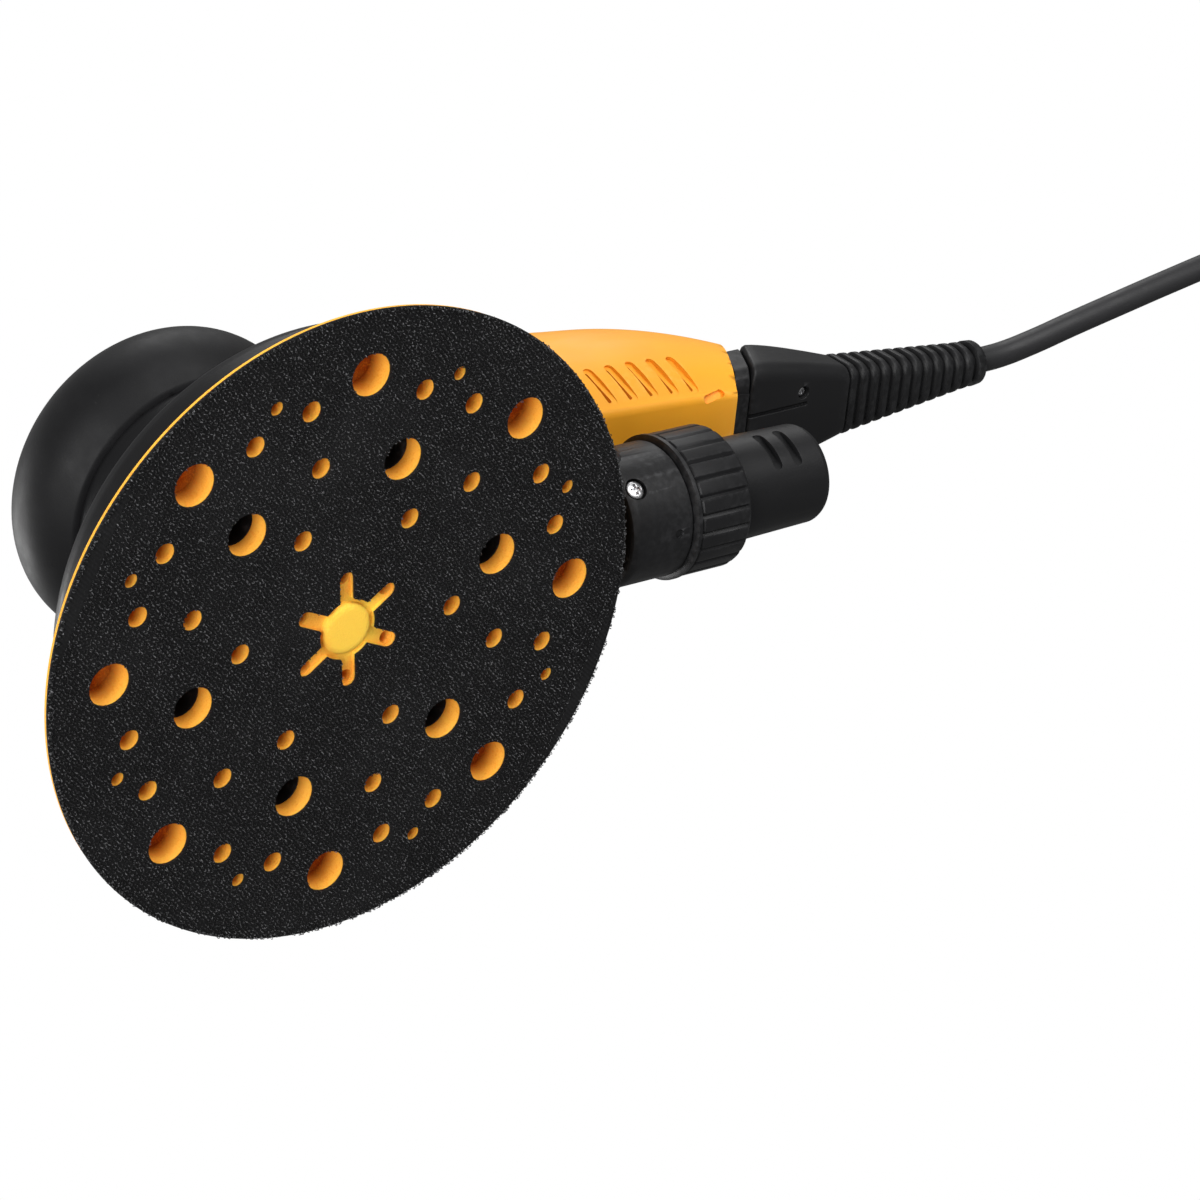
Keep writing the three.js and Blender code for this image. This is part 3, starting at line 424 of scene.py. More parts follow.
def settle(obj):
    """Applies the object's modifiers to its mesh."""
    graph = bpy.context.evaluated_depsgraph_get()
    mesh = bpy.data.meshes.new_from_object(obj.evaluated_get(graph))
    obj.modifiers.clear()
    old = obj.data
    obj.data = mesh
    bpy.data.meshes.remove(old)


def boolean(obj, tool, operation="DIFFERENCE"):
    modifier = obj.modifiers.new("boolean", "BOOLEAN")
    modifier.operation = operation
    modifier.solver = "MANIFOLD"
    modifier.object = tool
    settle(obj)
    bpy.data.objects.remove(tool)
    return obj


def cut(obj, *tools):
    for tool in tools:
        boolean(obj, tool)


def joined(name, objects):
    """One object that holds all their meshes."""
    points = []
    faces = []
    for obj in objects:
        start = len(points)
        points += [tuple(v.co / MM) for v in obj.data.vertices]
        faces += [tuple(start + i for i in f.vertices) for f in obj.data.polygons]
        bpy.data.objects.remove(obj)
    return build(name, points, faces)


def soften(obj, width, segments=3, angle=38.0):
    """Rounds every edge sharper than the angle and evens out the shading of flat faces."""
    modifier = obj.modifiers.new("bevel", "BEVEL")
    modifier.width = width * MM
    modifier.segments = segments
    modifier.limit_method = "ANGLE"
    modifier.angle_limit = radians(angle)
    modifier.use_clamp_overlap = True
    settle(obj)
    tidy(obj, 40)
    weighted = obj.modifiers.new("weighted", "WEIGHTED_NORMAL")
    weighted.keep_sharp = True
    settle(obj)
    return obj


def mix(a, b, t):
    return a + (b - a) * t


def loft(name, rings, caps=True):
    """A skin over rings of equally many points, capped at both ends or else closed on itself."""
    count = len(rings[0])
    last = (len(rings) - 1) * count
    points = [p for ring in rings for p in ring]
    starts = list(range(0, last + 1, count))
    pairs = list(zip(starts, starts[1:]))
    if not caps:
        pairs.append((last, 0))
    faces = [(a + i, a + (i + 1) % count, b + (i + 1) % count, b + i) for a, b in pairs for i in range(count)]
    if caps:
        faces += [tuple(range(count)), tuple(range(last, last + count))]
    return build(name, points, faces)


def bend(a, corner, b, t):
    """A point of the curve from a to b that leans towards the corner."""
    return (1 - t) ** 2 * a + 2 * t * (1 - t) * corner + t * t * b


def rounded(profile, radius, steps=4, closed=True):
    """The outline with each corner turned into a short curve."""
    out = []
    count = len(profile)
    for i, corner in enumerate(profile):
        corner = Vector(corner)
        if not closed and i in (0, count - 1):
            out.append(tuple(corner))
            continue
        before = Vector(profile[i - 1]) - corner
        after = Vector(profile[(i + 1) % count]) - corner
        reach = min(radius, 0.45 * before.length, 0.45 * after.length)
        a = corner + before.normalized() * reach
        b = corner + after.normalized() * reach
        out += [tuple(bend(a, corner, b, k / steps)) for k in range(steps + 1)]
    return out


def circle(r, sides):
    return [(r * cos(2 * pi * k / sides), r * sin(2 * pi * k / sides)) for k in range(sides)]


def lathe(name, profile, centre=(0, 0), sides=128, along="Z"):
    """A closed outline of (radius, height) turned about Z, or about Y with centre as (x, z)."""
    points = []
    for a, b in circle(1, sides):
        for r, h in profile:
            u, v = centre[0] + r * a, centre[1] + r * b
            points.append((u, v, h) if along == "Z" else (u, h, v))
    count = len(profile)
    faces = []
    for k in range(sides):
        n = (k + 1) % sides
        for i in range(count):
            j = (i + 1) % count
            if profile[i][0] or profile[j][0]:
                faces.append((k * count + i, k * count + j, n * count + j, n * count + i))
    return build(name, points, faces)


def rod(r, z0, z1, x=0.0, y=0.0, sides=32):
    return loft("rod", [[(x + a, y + b, z) for a, b in circle(r, sides)] for z in (z0, z1)])


def rod_x(r, x0, x1, y, z, sides=40):
    return loft("rod", [[(x, y + a, z + b) for a, b in circle(r, sides)] for x in (x0, x1)])


def rod_y(r, y0, y1, x, z, sides):
    return loft("rod", [[(x + a, y, z + b) for a, b in circle(r, sides)] for y in (y0, y1)])


def block(x0, x1, y0, y1, z0, z1):
    return loft("block", [[(x0, y0, z), (x1, y0, z), (x1, y1, z), (x0, y1, z)] for z in (z0, z1)])


def capsule(half_long, half_wide, low, high, steps=8):
    """A slot-shaped prism along X."""
    straight = half_long - half_wide
    ring = []
    for side, start in ((1, -90), (-1, 90)):
        for k in range(steps + 1):
            angle = radians(start + 180 * k / steps)
            ring.append((side * straight + half_wide * cos(angle), half_wide * sin(angle)))
    return loft("capsule", [[(x, y, z) for x, y in ring] for z in (low, high)])


def rounded_ring(y, half_wide, low, high, corner, lean=0.0, per_corner=8, x=0.0):
    """A rounded rectangle round (x, y), in a plane that leans back by lean per millimetre of height."""
    ring = []
    middle = (low + high) / 2
    for sx, sz, start in ((1, 1, 0), (-1, 1, 90), (-1, -1, 180), (1, -1, 270)):
        for k in range(per_corner):
            angle = radians(start + 90 * k / (per_corner - 1))
            z = middle + sz * ((high - low) / 2 - corner) + corner * sin(angle)
            ring.append((x + sx * (half_wide - corner) + corner * cos(angle), y + (z - middle) * lean, z))
    return ring


def moved(obj, matrix):
    """Moves the mesh itself by a matrix in millimetres."""
    scaled = matrix.copy()
    scaled.translation = matrix.translation * MM
    obj.data.transform(scaled)
    return obj


def smooth_step(t):
    t = min(1.0, max(0.0, t))
    return t * t * (3 - 2 * t)


def spline(points, position):
    """Catmull-Rom through evenly numbered points."""
    last = len(points) - 1
    k = min(int(position), last - 1)
    t = position - k
    a, b, c, d = (Vector(points[min(max(i, 0), last)]) for i in (k - 1, k, k + 1, k + 2))
    curve = (2 * a - 5 * b + 4 * c - d) * t * t + (3 * b - a - 3 * c + d) * t ** 3
    return 0.5 * (2 * b + (c - a) * t + curve)


def finish_piece(obj, slot, body, replaced=(), material=None):
    """Gives the piece the finish of its slot, or the given material instead, puts it in its body and hides
    the CAD nodes that it replaces.
    """
    obj.data.materials.clear()
    obj.data.materials.append(FINISHES[material or slot].material)
    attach(obj, body)
    if replaced:
        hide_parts(*replaced)
    return obj


# ---- floor and lights ----
def stage():
    size = 4.0
    corners = [(-size, -size, 0), (size, -size, 0), (size, size, 0), (-size, size, 0)]
    mesh = bpy.data.meshes.new("floor")
    mesh.from_pydata(corners, [], [(0, 1, 2, 3)])
    floor = added("floor", mesh)
    mesh.materials.append(floor_material().material)
    floor.location.z = -0.0001
    floor.visible_shadow = False
    floor.visible_diffuse = False
    floor.visible_glossy = False
    floor.visible_transmission = False


def area_light(name, place, target, size, watts):
    data = bpy.data.lights.new(name, "AREA")
    data.shape = "DISK"
    data.size = size
    data.energy = watts
    obj = added(name, data)
    obj.location = place
    obj.rotation_euler = (Vector(target) - Vector(place)).to_track_quat("-Z", "Y").to_euler()


def studio():
    world = bpy.data.worlds.new("studio")
    bpy.context.scene.world = world
    world.use_nodes = True
    tree = world.node_tree
    seen = tree.nodes.new("ShaderNodeLightPath").outputs["Is Camera Ray"]
    shade = tree.nodes["Background"]
    strength = tree.nodes.new("ShaderNodeMapRange")
    strength.inputs["To Min"].default_value = 0.19
    strength.inputs["To Max"].default_value = 1.0
    tree.links.new(seen, strength.inputs["Value"])
    tree.links.new(strength.outputs["Result"], shade.inputs["Strength"])
    shade.inputs["Color"].default_value = (1, 1, 1, 1)
    bpy.context.scene.view_settings.view_transform = "Standard"
    middle = (0, 0.05, 0.04)
    area_light("key_below", (0.35, -0.95, -0.55), middle, 0.8, 15)
    area_light("fill_below", (0.95, 0.3, -0.5), middle, 1.0, 11)
    area_light("key_above", (-0.7, -0.6, 1.1), middle, 0.9, 16)
    area_light("fill_above", (0.9, 0.6, 0.9), middle, 1.0, 8)


# ---- mains cable ----
def coil_place(angle, r, z):
    """A point of the coil in degrees and millimetres, drawn in and lifted where the tie holds it."""
    held = np.exp(-(((angle - 90 + 180) % 360 - 180) / 20) ** 2)
    middle = COIL["low"] + 1.5 * COIL["pitch"]
    r = COIL["r"] + (r - COIL["r"]) * (1 - TIE["squeeze"] * held)
    z = middle + (z - middle) * (1 - TIE["squeeze"] * held) + 0.5 * held
    return (COIL["x"] + r * cos(radians(angle)), COIL["y"] + r * sin(radians(angle)), z)


def coil_route():
    """Four layers of four turns, wound inwards, up, outwards, up and so on. The last turn slides down
    the outside to the surface."""
    pitch, start, window = COIL["pitch"], COIL["start"], COIL["window"]
    slots = []
    for layer in range(4):
        columns = range(4) if layer % 2 == 0 else range(3, -1, -1)
        slots += [(COIL["r"] + (1.5 - c) * pitch, COIL["low"] + layer * pitch, c) for c in columns]
    route = []
    step, aside = 12, 2.4
    for (r, z, column), (next_r, next_z, next_column) in zip(slots, slots[1:]):
        climbs = next_column == column
        outwards = 1 if column == 0 else -1
        for k in range(0, 360, step):
            t = smooth_step((k - 360 + window) / window)
            out = aside * sin(pi * t) * outwards if climbs else 0.0
            route.append(coil_place(start + k, mix(r, next_r, t) + out, mix(z, next_z, t)))
    r, z, _ = slots[-1]
    leave, landed, end, floor_r = 105.0, 185.0, 176.0, 57.5
    angle = start
    while angle <= end:
        t = (angle - leave) / (landed - leave)
        route.append(coil_place(angle, mix(r, floor_r, smooth_step(t / 0.45)),
                                mix(z, CORD_TAIL[0][2], smooth_step((t - 0.25) / 0.75))))
        angle += step
    return route


def mains_cable():
    route = CORD_LEAD + coil_route() + CORD_TAIL
    data = bpy.data.curves.new("cord", "CURVE")
    data.dimensions = "3D"
    data.bevel_depth = CORD_R * MM
    data.bevel_resolution = 5
    data.resolution_u = 6
    data.use_fill_caps = True
    line = data.splines.new("BEZIER")
    line.bezier_points.add(len(route) - 1)
    for point, place in zip(line.bezier_points, route):
        point.co = Vector(place) * MM
        point.handle_left_type = "AUTO"
        point.handle_right_type = "AUTO"
    cord = added("cord", data)
    finish_piece(cord, "cable_rubber", "housing", ("cord_lead", "cord_coil", "cord_tail"))
    tie()
    plug()
    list(plug_pins())


def tie():
    """A hook-and-loop strap once round the bundle, its end lapped over itself."""
    x, y = COIL["x"], COIL["y"] + COIL["r"]
    half, thick, corner = TIE["half"], TIE["thick"], TIE["corner"]
    room = 1.5 * COIL["pitch"] * (1 - TIE["squeeze"]) + CORD_R + 0.25
    middle = COIL["low"] - CORD_R + thick + room
    outline = []
    for sy, sz, start in ((1, -1, -90), (1, 1, 0), (-1, 1, 90), (-1, -1, 180)):
        for k in range(7):
            angle = radians(start + 15 * k)
            outline.append((sy * (room - corner) + corner * cos(angle),
                            sz * (room - corner) + corner * sin(angle)))

    def ring(shift, grow):
        scale = 1 + grow / room
        return [(x + shift, y + py * scale, middle + pz * scale) for py, pz in outline]

    stations = (-half, -half + 0.35, half - 0.35, half)
    inner = [ring(shift, 0) for shift in stations]
    outer = [ring(shift, thick - (0.25 if abs(shift) == half else 0)) for shift in reversed(stations)]
    top = middle + room + thick
    lap = block(x - half, x + half, y - 9, y + 7, top - 0.3, top + 0.55)
    strap = soften(joined("cable_tie", [loft("strap", inner + outer, caps=False), lap]), 0.25, 2)
    return finish_piece(strap, "tie_fabric", "housing", ("cord_tie",))


def plug():
    """The plug's body, which narrows into a ribbed neck and has a finger dent on each broad side."""
    face, tail, z = PLUG["face"], PLUG["tail"], PLUG["z"]
    half, thick = PLUG["half"], PLUG["thick"]
    outline = [(face, half - 0.8, thick - 0.8), (face + 0.8, half, thick), (face + 13, half, thick),
               (face + 15, 16.6, 8.1), (face + 20, 13.2, 7.4), (face + 24, 10.2, 6.9), (face + 26, 8.6, 6.4)]
    ribs = 4
    start = face + 26.4
    pitch = (tail - start) / ribs
    for k in range(ribs):
        y = start + k * pitch
        wide, high = 7.6 - 2.6 * k / ribs, 6.2 - 1.5 * k / ribs
        outline += [(y, wide - 0.9, high - 0.9), (y + 0.5, wide, high),
                    (y + pitch - 1.0, wide - 0.4, high - 0.3), (y + pitch - 0.5, wide - 1.1, high - 1.0)]
    outline.append((tail, 4.4, 4.2))
    body = loft("mains_plug", [rounded_ring(y, wide, z - high, z + high, 0.72 * min(wide, high), x=PLUG["x"])
                               for y, wide, high in outline])
    for side in (-1, 1):
        dent = capsule(6.5, 2.6, -1.0, 1.0)
        cut(body, moved(dent, Matrix.Translation((PLUG["x"], face + 8.0, z + side * thick))))
    soften(body, 0.35, 2)
    return finish_piece(body, "black_plastic", "housing", ("plug_body",))


def plug_pins():
    r, root = PLUG["pin_r"], PLUG["face"] - CLEAR
    tip = root - PLUG["pin_long"]
    profile = [(0, tip), (r * 0.5, tip + 0.15), (r * 0.85, tip + 0.8), (r, tip + 2.0), (r, root), (0, root)]
    pins = []
    for number, side in ((1, -1), (2, 1)):
        pin = lathe(f"mains_pin_{number}", profile, (PLUG["x"] + side * PLUG["pin_x"], PLUG["z"]), 32, "Y")
        pins.append(finish_piece(pin, "steel", "housing", (f"plug_pin_{number}",)))
    return pins


camera()
stage()
studio()
mains_cable()


# ---- pad ----
def hole_places():
    """The centre, the radius and whether it goes through, for each hole of the pad."""
    for ring, count, first, r, through in HOLES:
        for k in range(count):
            angle = radians(first + 360 / count * k)
            yield ring * cos(angle), ring * sin(angle) - ORBIT, r, through


def star_tool(low, high, grow=0.0):
    """The round middle and its six arms, each with a rounded end, as one prism."""
    outline = []
    core = PAD["hub_r"] + CLEAR + grow
    half = STAR["half"] + grow
    reach = asin(half / core)
    for k in range(STAR["arms"]):
        middle = radians(STAR["first"] + 360 / STAR["arms"] * k)
        next_start = middle + 2 * pi / STAR["arms"] - reach
        along = Vector((cos(middle), sin(middle)))
        across = Vector((-sin(middle), cos(middle)))
        for j in range(7):
            swing = -pi / 2 + pi * j / 6
            tip = along * (STAR["end"] + grow - half + half * cos(swing)) + across * half * sin(swing)
            outline.append((tip.x, tip.y - ORBIT))
        for j in range(5):
            angle = middle + reach + (next_start - middle - reach) * j / 4
            outline.append((core * cos(angle), core * sin(angle) - ORBIT))
    return loft("star", [[(x, y, z) for x, y in outline] for z in (low, high)])


def hole_tools(low, high, blind=True):
    """Rods for all the holes. With blind, only the through holes reach above the blind ones' floor."""
    tools = []
    for x, y, r, through in hole_places():
        top = high if through or not blind else min(high, PAD["blind_top"])
        tools.append(rod(r, low, top, x, y, 28 if r > 3 else 20))
    return joined("holes", tools)


def hook_face():
    base, top, r = PAD["hook_low"], PAD["hook_top"], PAD["r"] - 0.4
    outline = [(0, base), (r, base), (r + 0.3, base + 0.25), (r + 0.2, top), (0, top)]
    face = lathe("hook_face", outline, (0, -ORBIT), 192)
    cut(face, hole_tools(-1, top + 1, blind=False), star_tool(-1, top + 1))
    tidy(face)
    finish_piece(face, "hook_fabric", "pad", ("pad_hook_face",))


HOLE_LIST = list(hole_places())


def on_fabric(x, y, margin):
    """Whether a hook may stand at this place of the pad."""
    distance = hypot(x, y + ORBIT)
    if distance > PAD["r"] - 0.35 or distance < PAD["hub_r"] + CLEAR + margin:
        return False
    if any((x - hx) ** 2 + (y - hy) ** 2 < (r + margin) ** 2 for hx, hy, r, _ in HOLE_LIST):
        return False
    if distance > STAR["end"] + margin:
        return True
    sector = 360 / STAR["arms"]
    off = (degrees(atan2(y + ORBIT, x)) - STAR["first"] + sector / 2) % sector - sector / 2
    return abs(distance * sin(radians(off))) > STAR["half"] + margin


def hook_shapes(rng):
    """Small bent filaments, each a closed three-sided tube: two feet and an arch between them."""
    across = Vector((0, 1, 0))
    joints, sides = 6, 3
    last = joints - 1
    shapes = []
    for _ in range(HOOK["kinds"]):
        tall, wide, skew, heavy, _, droop = rng.random(6)
        height, span = 0.5 + 0.14 * tall, 0.42 + 0.18 * wide
        sway, thick = 0.16 * (skew - 0.5), 0.085 + 0.02 * heavy
        path = []
        for k in range(joints):
            angle = pi - pi * k / last
            path.append(Vector((span / 2 * cos(angle), sway * sin(angle), -height * sin(angle))))
        path[last] += Vector((0, 0, -0.12 * droop))
        points = []
        for k, p in enumerate(path):
            ahead = path[min(k + 1, last)] - path[max(k - 1, 0)]
            side = ahead.cross(across).normalized()
            points += [p + side * a + across * b for a, b in circle(thick, sides)]
        end = sides * joints
        faces = [tuple(range(sides)), tuple(range(end - 1, end - sides - 1, -1))]
        for k in range(0, sides * last, sides):
            for j in range(sides):
                n = (j + 1) % sides
                faces.append((k + j, k + sides + j, k + sides + n, k + n))
        shapes.append((np.array([tuple(p) for p in points]), faces))
    return shapes


def hook_places(rng):
    """Close staggered rows of (x, y, turn, size), and a few strays at the rim."""
    pitch, lean = HOOK["pitch"], radians(HOOK["lean"])
    limit = int(PAD["r"] / pitch) + 2
    places = []
    for row in range(-limit, limit + 1):
        for column in range(-limit, limit + 1):
            u = (column + 0.5 * (row % 2)) * pitch + 0.09 * rng.standard_normal()
            v = row * pitch * 0.92 + 0.09 * rng.standard_normal()
            x = u * cos(lean) - v * sin(lean)
            y = u * sin(lean) + v * cos(lean) - ORBIT
            if on_fabric(x, y, 0.05):
                places.append((x, y, lean + pi / 2 * (row % 2) + 0.5 * rng.standard_normal(), 1.0))
    for _ in range(HOOK["strays"]):
        angle = 2 * pi * rng.random()
        r = PAD["r"] - 0.3 - 0.5 * rng.random()
        places.append((r * cos(angle), r * sin(angle) - ORBIT, angle + 0.6 * rng.standard_normal(), 1.1))
    return places


def hooks():
    """The pile of the hook face, one mesh of many filaments."""
    rng = np.random.default_rng(HOOK["seed"])
    shapes = hook_shapes(rng)
    points, faces = [], []
    start = 0
    for x, y, turn, size in hook_places(rng):
        shape, loops = shapes[rng.integers(len(shapes))]
        size *= 0.86 + 0.28 * rng.random()
        c, s = cos(turn) * size, sin(turn) * size
        local = shape @ np.array([[c, s, 0], [-s, c, 0], [0, 0, min(size, 0.98)]])
        local[:, :2] += np.outer(local[:, 2], 0.22 * rng.standard_normal(2))
        points.append(local + np.array([x, y, HOOK["root"]]))
        faces += [tuple(start + i for i in loop) for loop in loops]
        start += len(shape)
    mesh = bpy.data.meshes.new("hook_pile")
    mesh.from_pydata((np.concatenate(points) * MM).tolist(), [], faces)
    mesh.shade_smooth()
    pile = added("hook_pile", mesh)
    finish_piece(pile, "hook_fabric", "pad", material="hook_fibre")


def through_rods(r, low, high):
    """One rod in each of the holes that go through the pad."""
    return joined("through", [rod(r, low, high, x, y, 28) for x, y, _, through in HOLE_LIST if through])


def foam_pad():
    """The foam layer. Its rim tapers in steeply, and the star's arms are shallow with a deep pocket at
    each end."""
    low, top, r, top_r = PAD["foam_low"], PAD["foam_top"], PAD["r"], PAD["foam_top_r"]
    outline = [(0, low), (r - 0.9, low), (r - 0.45, low + 0.2), (r - 0.35, low + 0.7), (r - 0.8, low + 1.1),
               (r - 4.2, low + 4.3), (top_r + 0.9, top - 0.5), (top_r, top), (0, top)]
    body = lathe("foam_pad", outline, (0, -ORBIT), 192)
    cut(body, hole_tools(low - 1, top + 1), through_rods(SLEEVE["r"] + CLEAR, SLEEVE["low"] - CLEAR, top + 1))
    cut(body, star_tool(low - 1, low + STAR["shallow"], -0.1))
    pockets = []
    for k in range(STAR["arms"]):
        angle = radians(STAR["first"] + 360 / STAR["arms"] * k)
        at = STAR["end"] - STAR["half"] - 0.1
        pockets.append(rod(STAR["half"] - 0.35, low - 1, low + STAR["deep"],
                           at * cos(angle), at * sin(angle) - ORBIT, 24))
    cut(body, joined("pockets", pockets))
    disc, floor = STAR["disc"], low + STAR["shallow"] + 0.3
    dome = [(0, 0.62), (disc - 0.8, 0.66), (disc, 0.9), (disc + 0.45, 1.4), (disc + 0.6, floor), (0, floor)]
    boolean(body, lathe("raised", rounded(dome, 0.4, closed=False), (0, -ORBIT), 96), "UNION")
    soften(body, 0.16, 2, 50)
    finish_piece(body, "pad_foam", "pad", ("pad_foam",))


def backing_plate():
    """The plate on the foam, with a boss for the spindle and a lining tube in each through hole."""
    low, top, r = PAD["foam_top"] + CLEAR, PAD["plate_top"], PAD["plate_r"]
    bore, boss, boss_top = PAD["bore"], PAD["boss_r"], PAD["boss_top"]
    outline = [(bore, low), (r, low), (r, top - 0.6), (r - 1.2, top), (r - 7, top), (r - 8, top - 1),
               (44, top - 1), (42, top), (boss + 2.4, top), (boss, boss_top - 0.6), (boss - 0.6, boss_top),
               (bore, boss_top)]
    plate = lathe("backing_plate", rounded(outline, 0.35, 2), (0, -ORBIT), 128)
    boolean(plate, through_rods(SLEEVE["r"], SLEEVE["low"], low + 1), "UNION")
    cut(plate, through_rods(SLEEVE["bore"], 0, top + 1), rod(8.7, low - 1, top + 0.2, 0, -ORBIT, 6))
    soften(plate, 0.25, 2)
    finish_piece(plate, "grey_plastic", "pad", ("pad_backing_plate",), "black_plastic")


hook_face()
hooks()
foam_pad()
backing_plate()


# ---- handle shape, which also makes room in the dome ----
def handle_ring(position, inset, per_side=40):
    """One cross-section: up the right flank, over the top, down the left one and along the underside."""
    y, edge, half, low, mid, top = spline(HANDLE, position)
    e, h, lo, hi = edge - inset, half - inset, low + inset, top - inset
    right = [(e, lo + 1.6), (mix(e, h, 0.55), mix(lo, mid, 0.35)), (mix(e, h, 0.9), mix(lo, mid, 0.7)),
             (h, mid), (h * 0.965, mix(mid, hi, 0.42)), (h * 0.85, mix(mid, hi, 0.73)),
             (h * 0.62, mix(mid, hi, 0.92)), (h * 0.3, hi - 0.1), (0.0, hi)]
    curve = right + [(-x, z) for x, z in reversed(right)][1:]
    ring = [spline(curve, (len(curve) - 1) * k / (2 * per_side)) for k in range(2 * per_side + 1)]
    turn, foot_x = 5, e * 0.86
    upper, corner, lower = Vector((e, lo + 1.6)), Vector((e * 0.985, lo + 0.15)), Vector((foot_x, lo))
    foot = [bend(upper, corner, lower, k / turn) for k in range(1, turn + 1)]
    ring += [Vector((-p.x, p.y)) for p in foot]
    ring += [Vector((x, lo)) for x in np.linspace(-foot_x, foot_x, 9)[1:]]
    ring += reversed(foot[:-1])
    return [(p.x, y, p.y) for p in ring]


def handle_solid(inset, name="handle_solid", stations=46):
    last = len(HANDLE) - 1
    return loft(name, [handle_ring(last * k / (stations - 1), inset) for k in range(stations)])


def rim_wedge(front, back):
    """Everything between two planes that lean like the handle's rear rim."""
    rings = []
    for x in (-60, 60):
        rings.append([(x, RIM["y"] + (z - RIM["z"]) * RIM["lean"] + shift, z)
                      for shift, z in ((front, 10), (back, 10), (back, 110), (front, 110))])
    return loft("wedge", rings)


# ---- head ----
def dome_points(depth, lip, steps):
    half = DOME["half"] - depth
    start = asin((lip - DOME["z"]) / half)
    angles = [mix(start, pi / 2, k / steps) for k in range(steps)]
    points = [((DOME["r"] - depth) * cos(angle), DOME["z"] + half * sin(angle)) for angle in angles]
    return points + [(0.0, DOME["z"] + half)]


def grip_dome():
    lip = DOME["lip"]
    outer = dome_points(0, lip, 44)
    inner = dome_points(DOME["wall"], lip, 36)
    wide, narrow = outer[0][0], inner[0][0]
    edge = [(narrow, lip - 0.05), (narrow + 0.5, lip - 0.5), (wide - 0.7, lip - 0.5), (wide - 0.1, lip - 0.1)]
    dome = lathe("grip_dome", outer + list(reversed(inner)) + edge, sides=192)
    cut(dome, handle_solid(-CLEAR), rod(NECK_R - 0.8 + CLEAR, 60, 88.3, sides=96))
    soften(dome, 0.6, 3, 50)
    finish_piece(dome, "soft_rubber", "housing", ("grip_dome",))


def motor_housing():
    """The waisted neck between the dome and the shroud, with one raised band."""
    r = NECK_R
    outline = [(35, 34.4), (37.5, 34.4), (36.6, 37), (33, 41.5), (r, 48), (r, 57), (r + 0.35, 58),
               (r + 0.35, 59.4), (r, 60.4), (r, 64.8), (r - 0.8, 66.4), (r - 0.8, 88), (r - 2.2, 88),
               (r - 2.2, 48), (30.8, 43), (34.4, 36.8)]
    housing = lathe("motor_housing", rounded(outline, 1.1), sides=160)
    finish_piece(housing, "black_plastic", "housing", ("motor_housing",))


def shroud():
    """The skirt above the pad, open where the duct leaves it, and the brake seal inside it."""
    r = SHROUD_R
    outline = [(r - 2.2, 16.3), (r, 16.3), (r + 0.25, 19), (r + 0.3, 22), (r - 0.6, 24.6), (r - 2.5, 27),
               (56, 29.4), (50, 31.2), (44, 32.6), (38, 33.4), (31, 34), (31, 32.4), (38, 31.2), (49, 28.8),
               (r - 4.2, 25.2), (r - 2.2, 21.5)]
    skirt = lathe("pad_shroud", rounded(outline, 0.8, 3), sides=192)
    gap = block(-DUCT["half"] - CLEAR, DUCT["half"] + CLEAR, 45, 80, 10, 45)
    cut(gap, rod(DUCT["start"] - CLEAR, 0, 60, sides=128))
    cut(skirt, gap)
    soften(skirt, 0.3, 2, 45)
    finish_piece(skirt, "black_plastic", "housing", ("pad_shroud",))
    lip = [(47, 14.9), (49, 14.9), (50.6, 24), (50.6, 27.6), (48.4, 28), (48.4, 24)]
    seal = lathe("brake_seal", rounded(lip, 0.5, 3), sides=160)
    finish_piece(seal, "soft_rubber", "housing", ("brake_seal",))


# ---- dust outlet ----
def screw(name, place, r, node):
    """A pan-head screw with a cross recess. Its head stands along the +Z of its place."""
    outline = [(0, -0.9), (r * 0.98, -0.9), (r, -0.5), (r * 0.96, -0.15), (r * 0.72, 0.12), (r * 0.3, 0.22),
               (0, 0.24)]
    head = lathe(name, outline, sides=48)
    arm, slot = r * 0.62, 0.17 * r
    cut(head, block(-arm, arm, -slot, slot, -0.75, 2), block(-slot, slot, -arm, arm, -0.75, 2))
    soften(head, 0.06, 2, 45)
    finish_piece(moved(head, place), "steel", "housing", (node,))


def outlet_screw_place():
    angle = radians(-40)
    out = Vector((cos(angle), 0, sin(angle)))
    at = Vector((0, OUTLET["start"] + 3.5, OUTLET["z"])) + out * (OUTLET["r"] - 0.4)
    return Matrix.Translation(at) @ out.to_track_quat("Z", "Y").to_matrix().to_4x4()


def exhaust_body():
    """The duct from the shroud, which widens and rounds itself into the outlet pipe."""
    z, r, start, end = OUTLET["z"], OUTLET["r"], OUTLET["start"], OUTLET["end"]
    low, high, half, corner = DUCT["low"], DUCT["high"], DUCT["half"], DUCT["corner"]
    rings = [rounded_ring(y, half, low, high, corner, per_corner=7) for y in (44, start - 2.5)]
    for y, t in ((start + 3, 0.25), (start + 7, 0.7), (start + 10, 1.0)):
        rings.append(rounded_ring(y, mix(half, r - 1.2, t), mix(low, z - r + 2, 0.3 * t),
                                  mix(high, z + r - 0.6, t), mix(corner, 0.7 * r, t), per_corner=7))
    duct = loft("exhaust_body", rings)
    cut(duct, rod(DUCT["start"], 0, 60, sides=160))
    outline = [(0, start), (r - 1.8, start), (r - 0.7, start + 0.4), (r - 0.15, start + 1.4),
               (r, start + 2.4), (r, end - 0.5), (r - 0.4, end), (0, end)]
    boolean(duct, lathe("pipe", outline, (0, z), 112, "Y"), "UNION")
    cut(duct, rod_y(OUTLET["bore"], start + 2, end + 1, 0, z, 96))
    place = outlet_screw_place()
    dimple = Matrix.Translation((1.3, 91, z - r)) @ Matrix.Rotation(pi, 4, "X")
    cut(duct, moved(rod(2.7, -1.6, 4, sides=40), place), moved(rod(1.1, -0.5, 2, sides=24), dimple))
    soften(duct, 0.35, 3, 42)
    finish_piece(duct, "black_plastic", "housing", ("exhaust_body",))
    screw("outlet_screw", place, 2.25, "exhaust_screw")


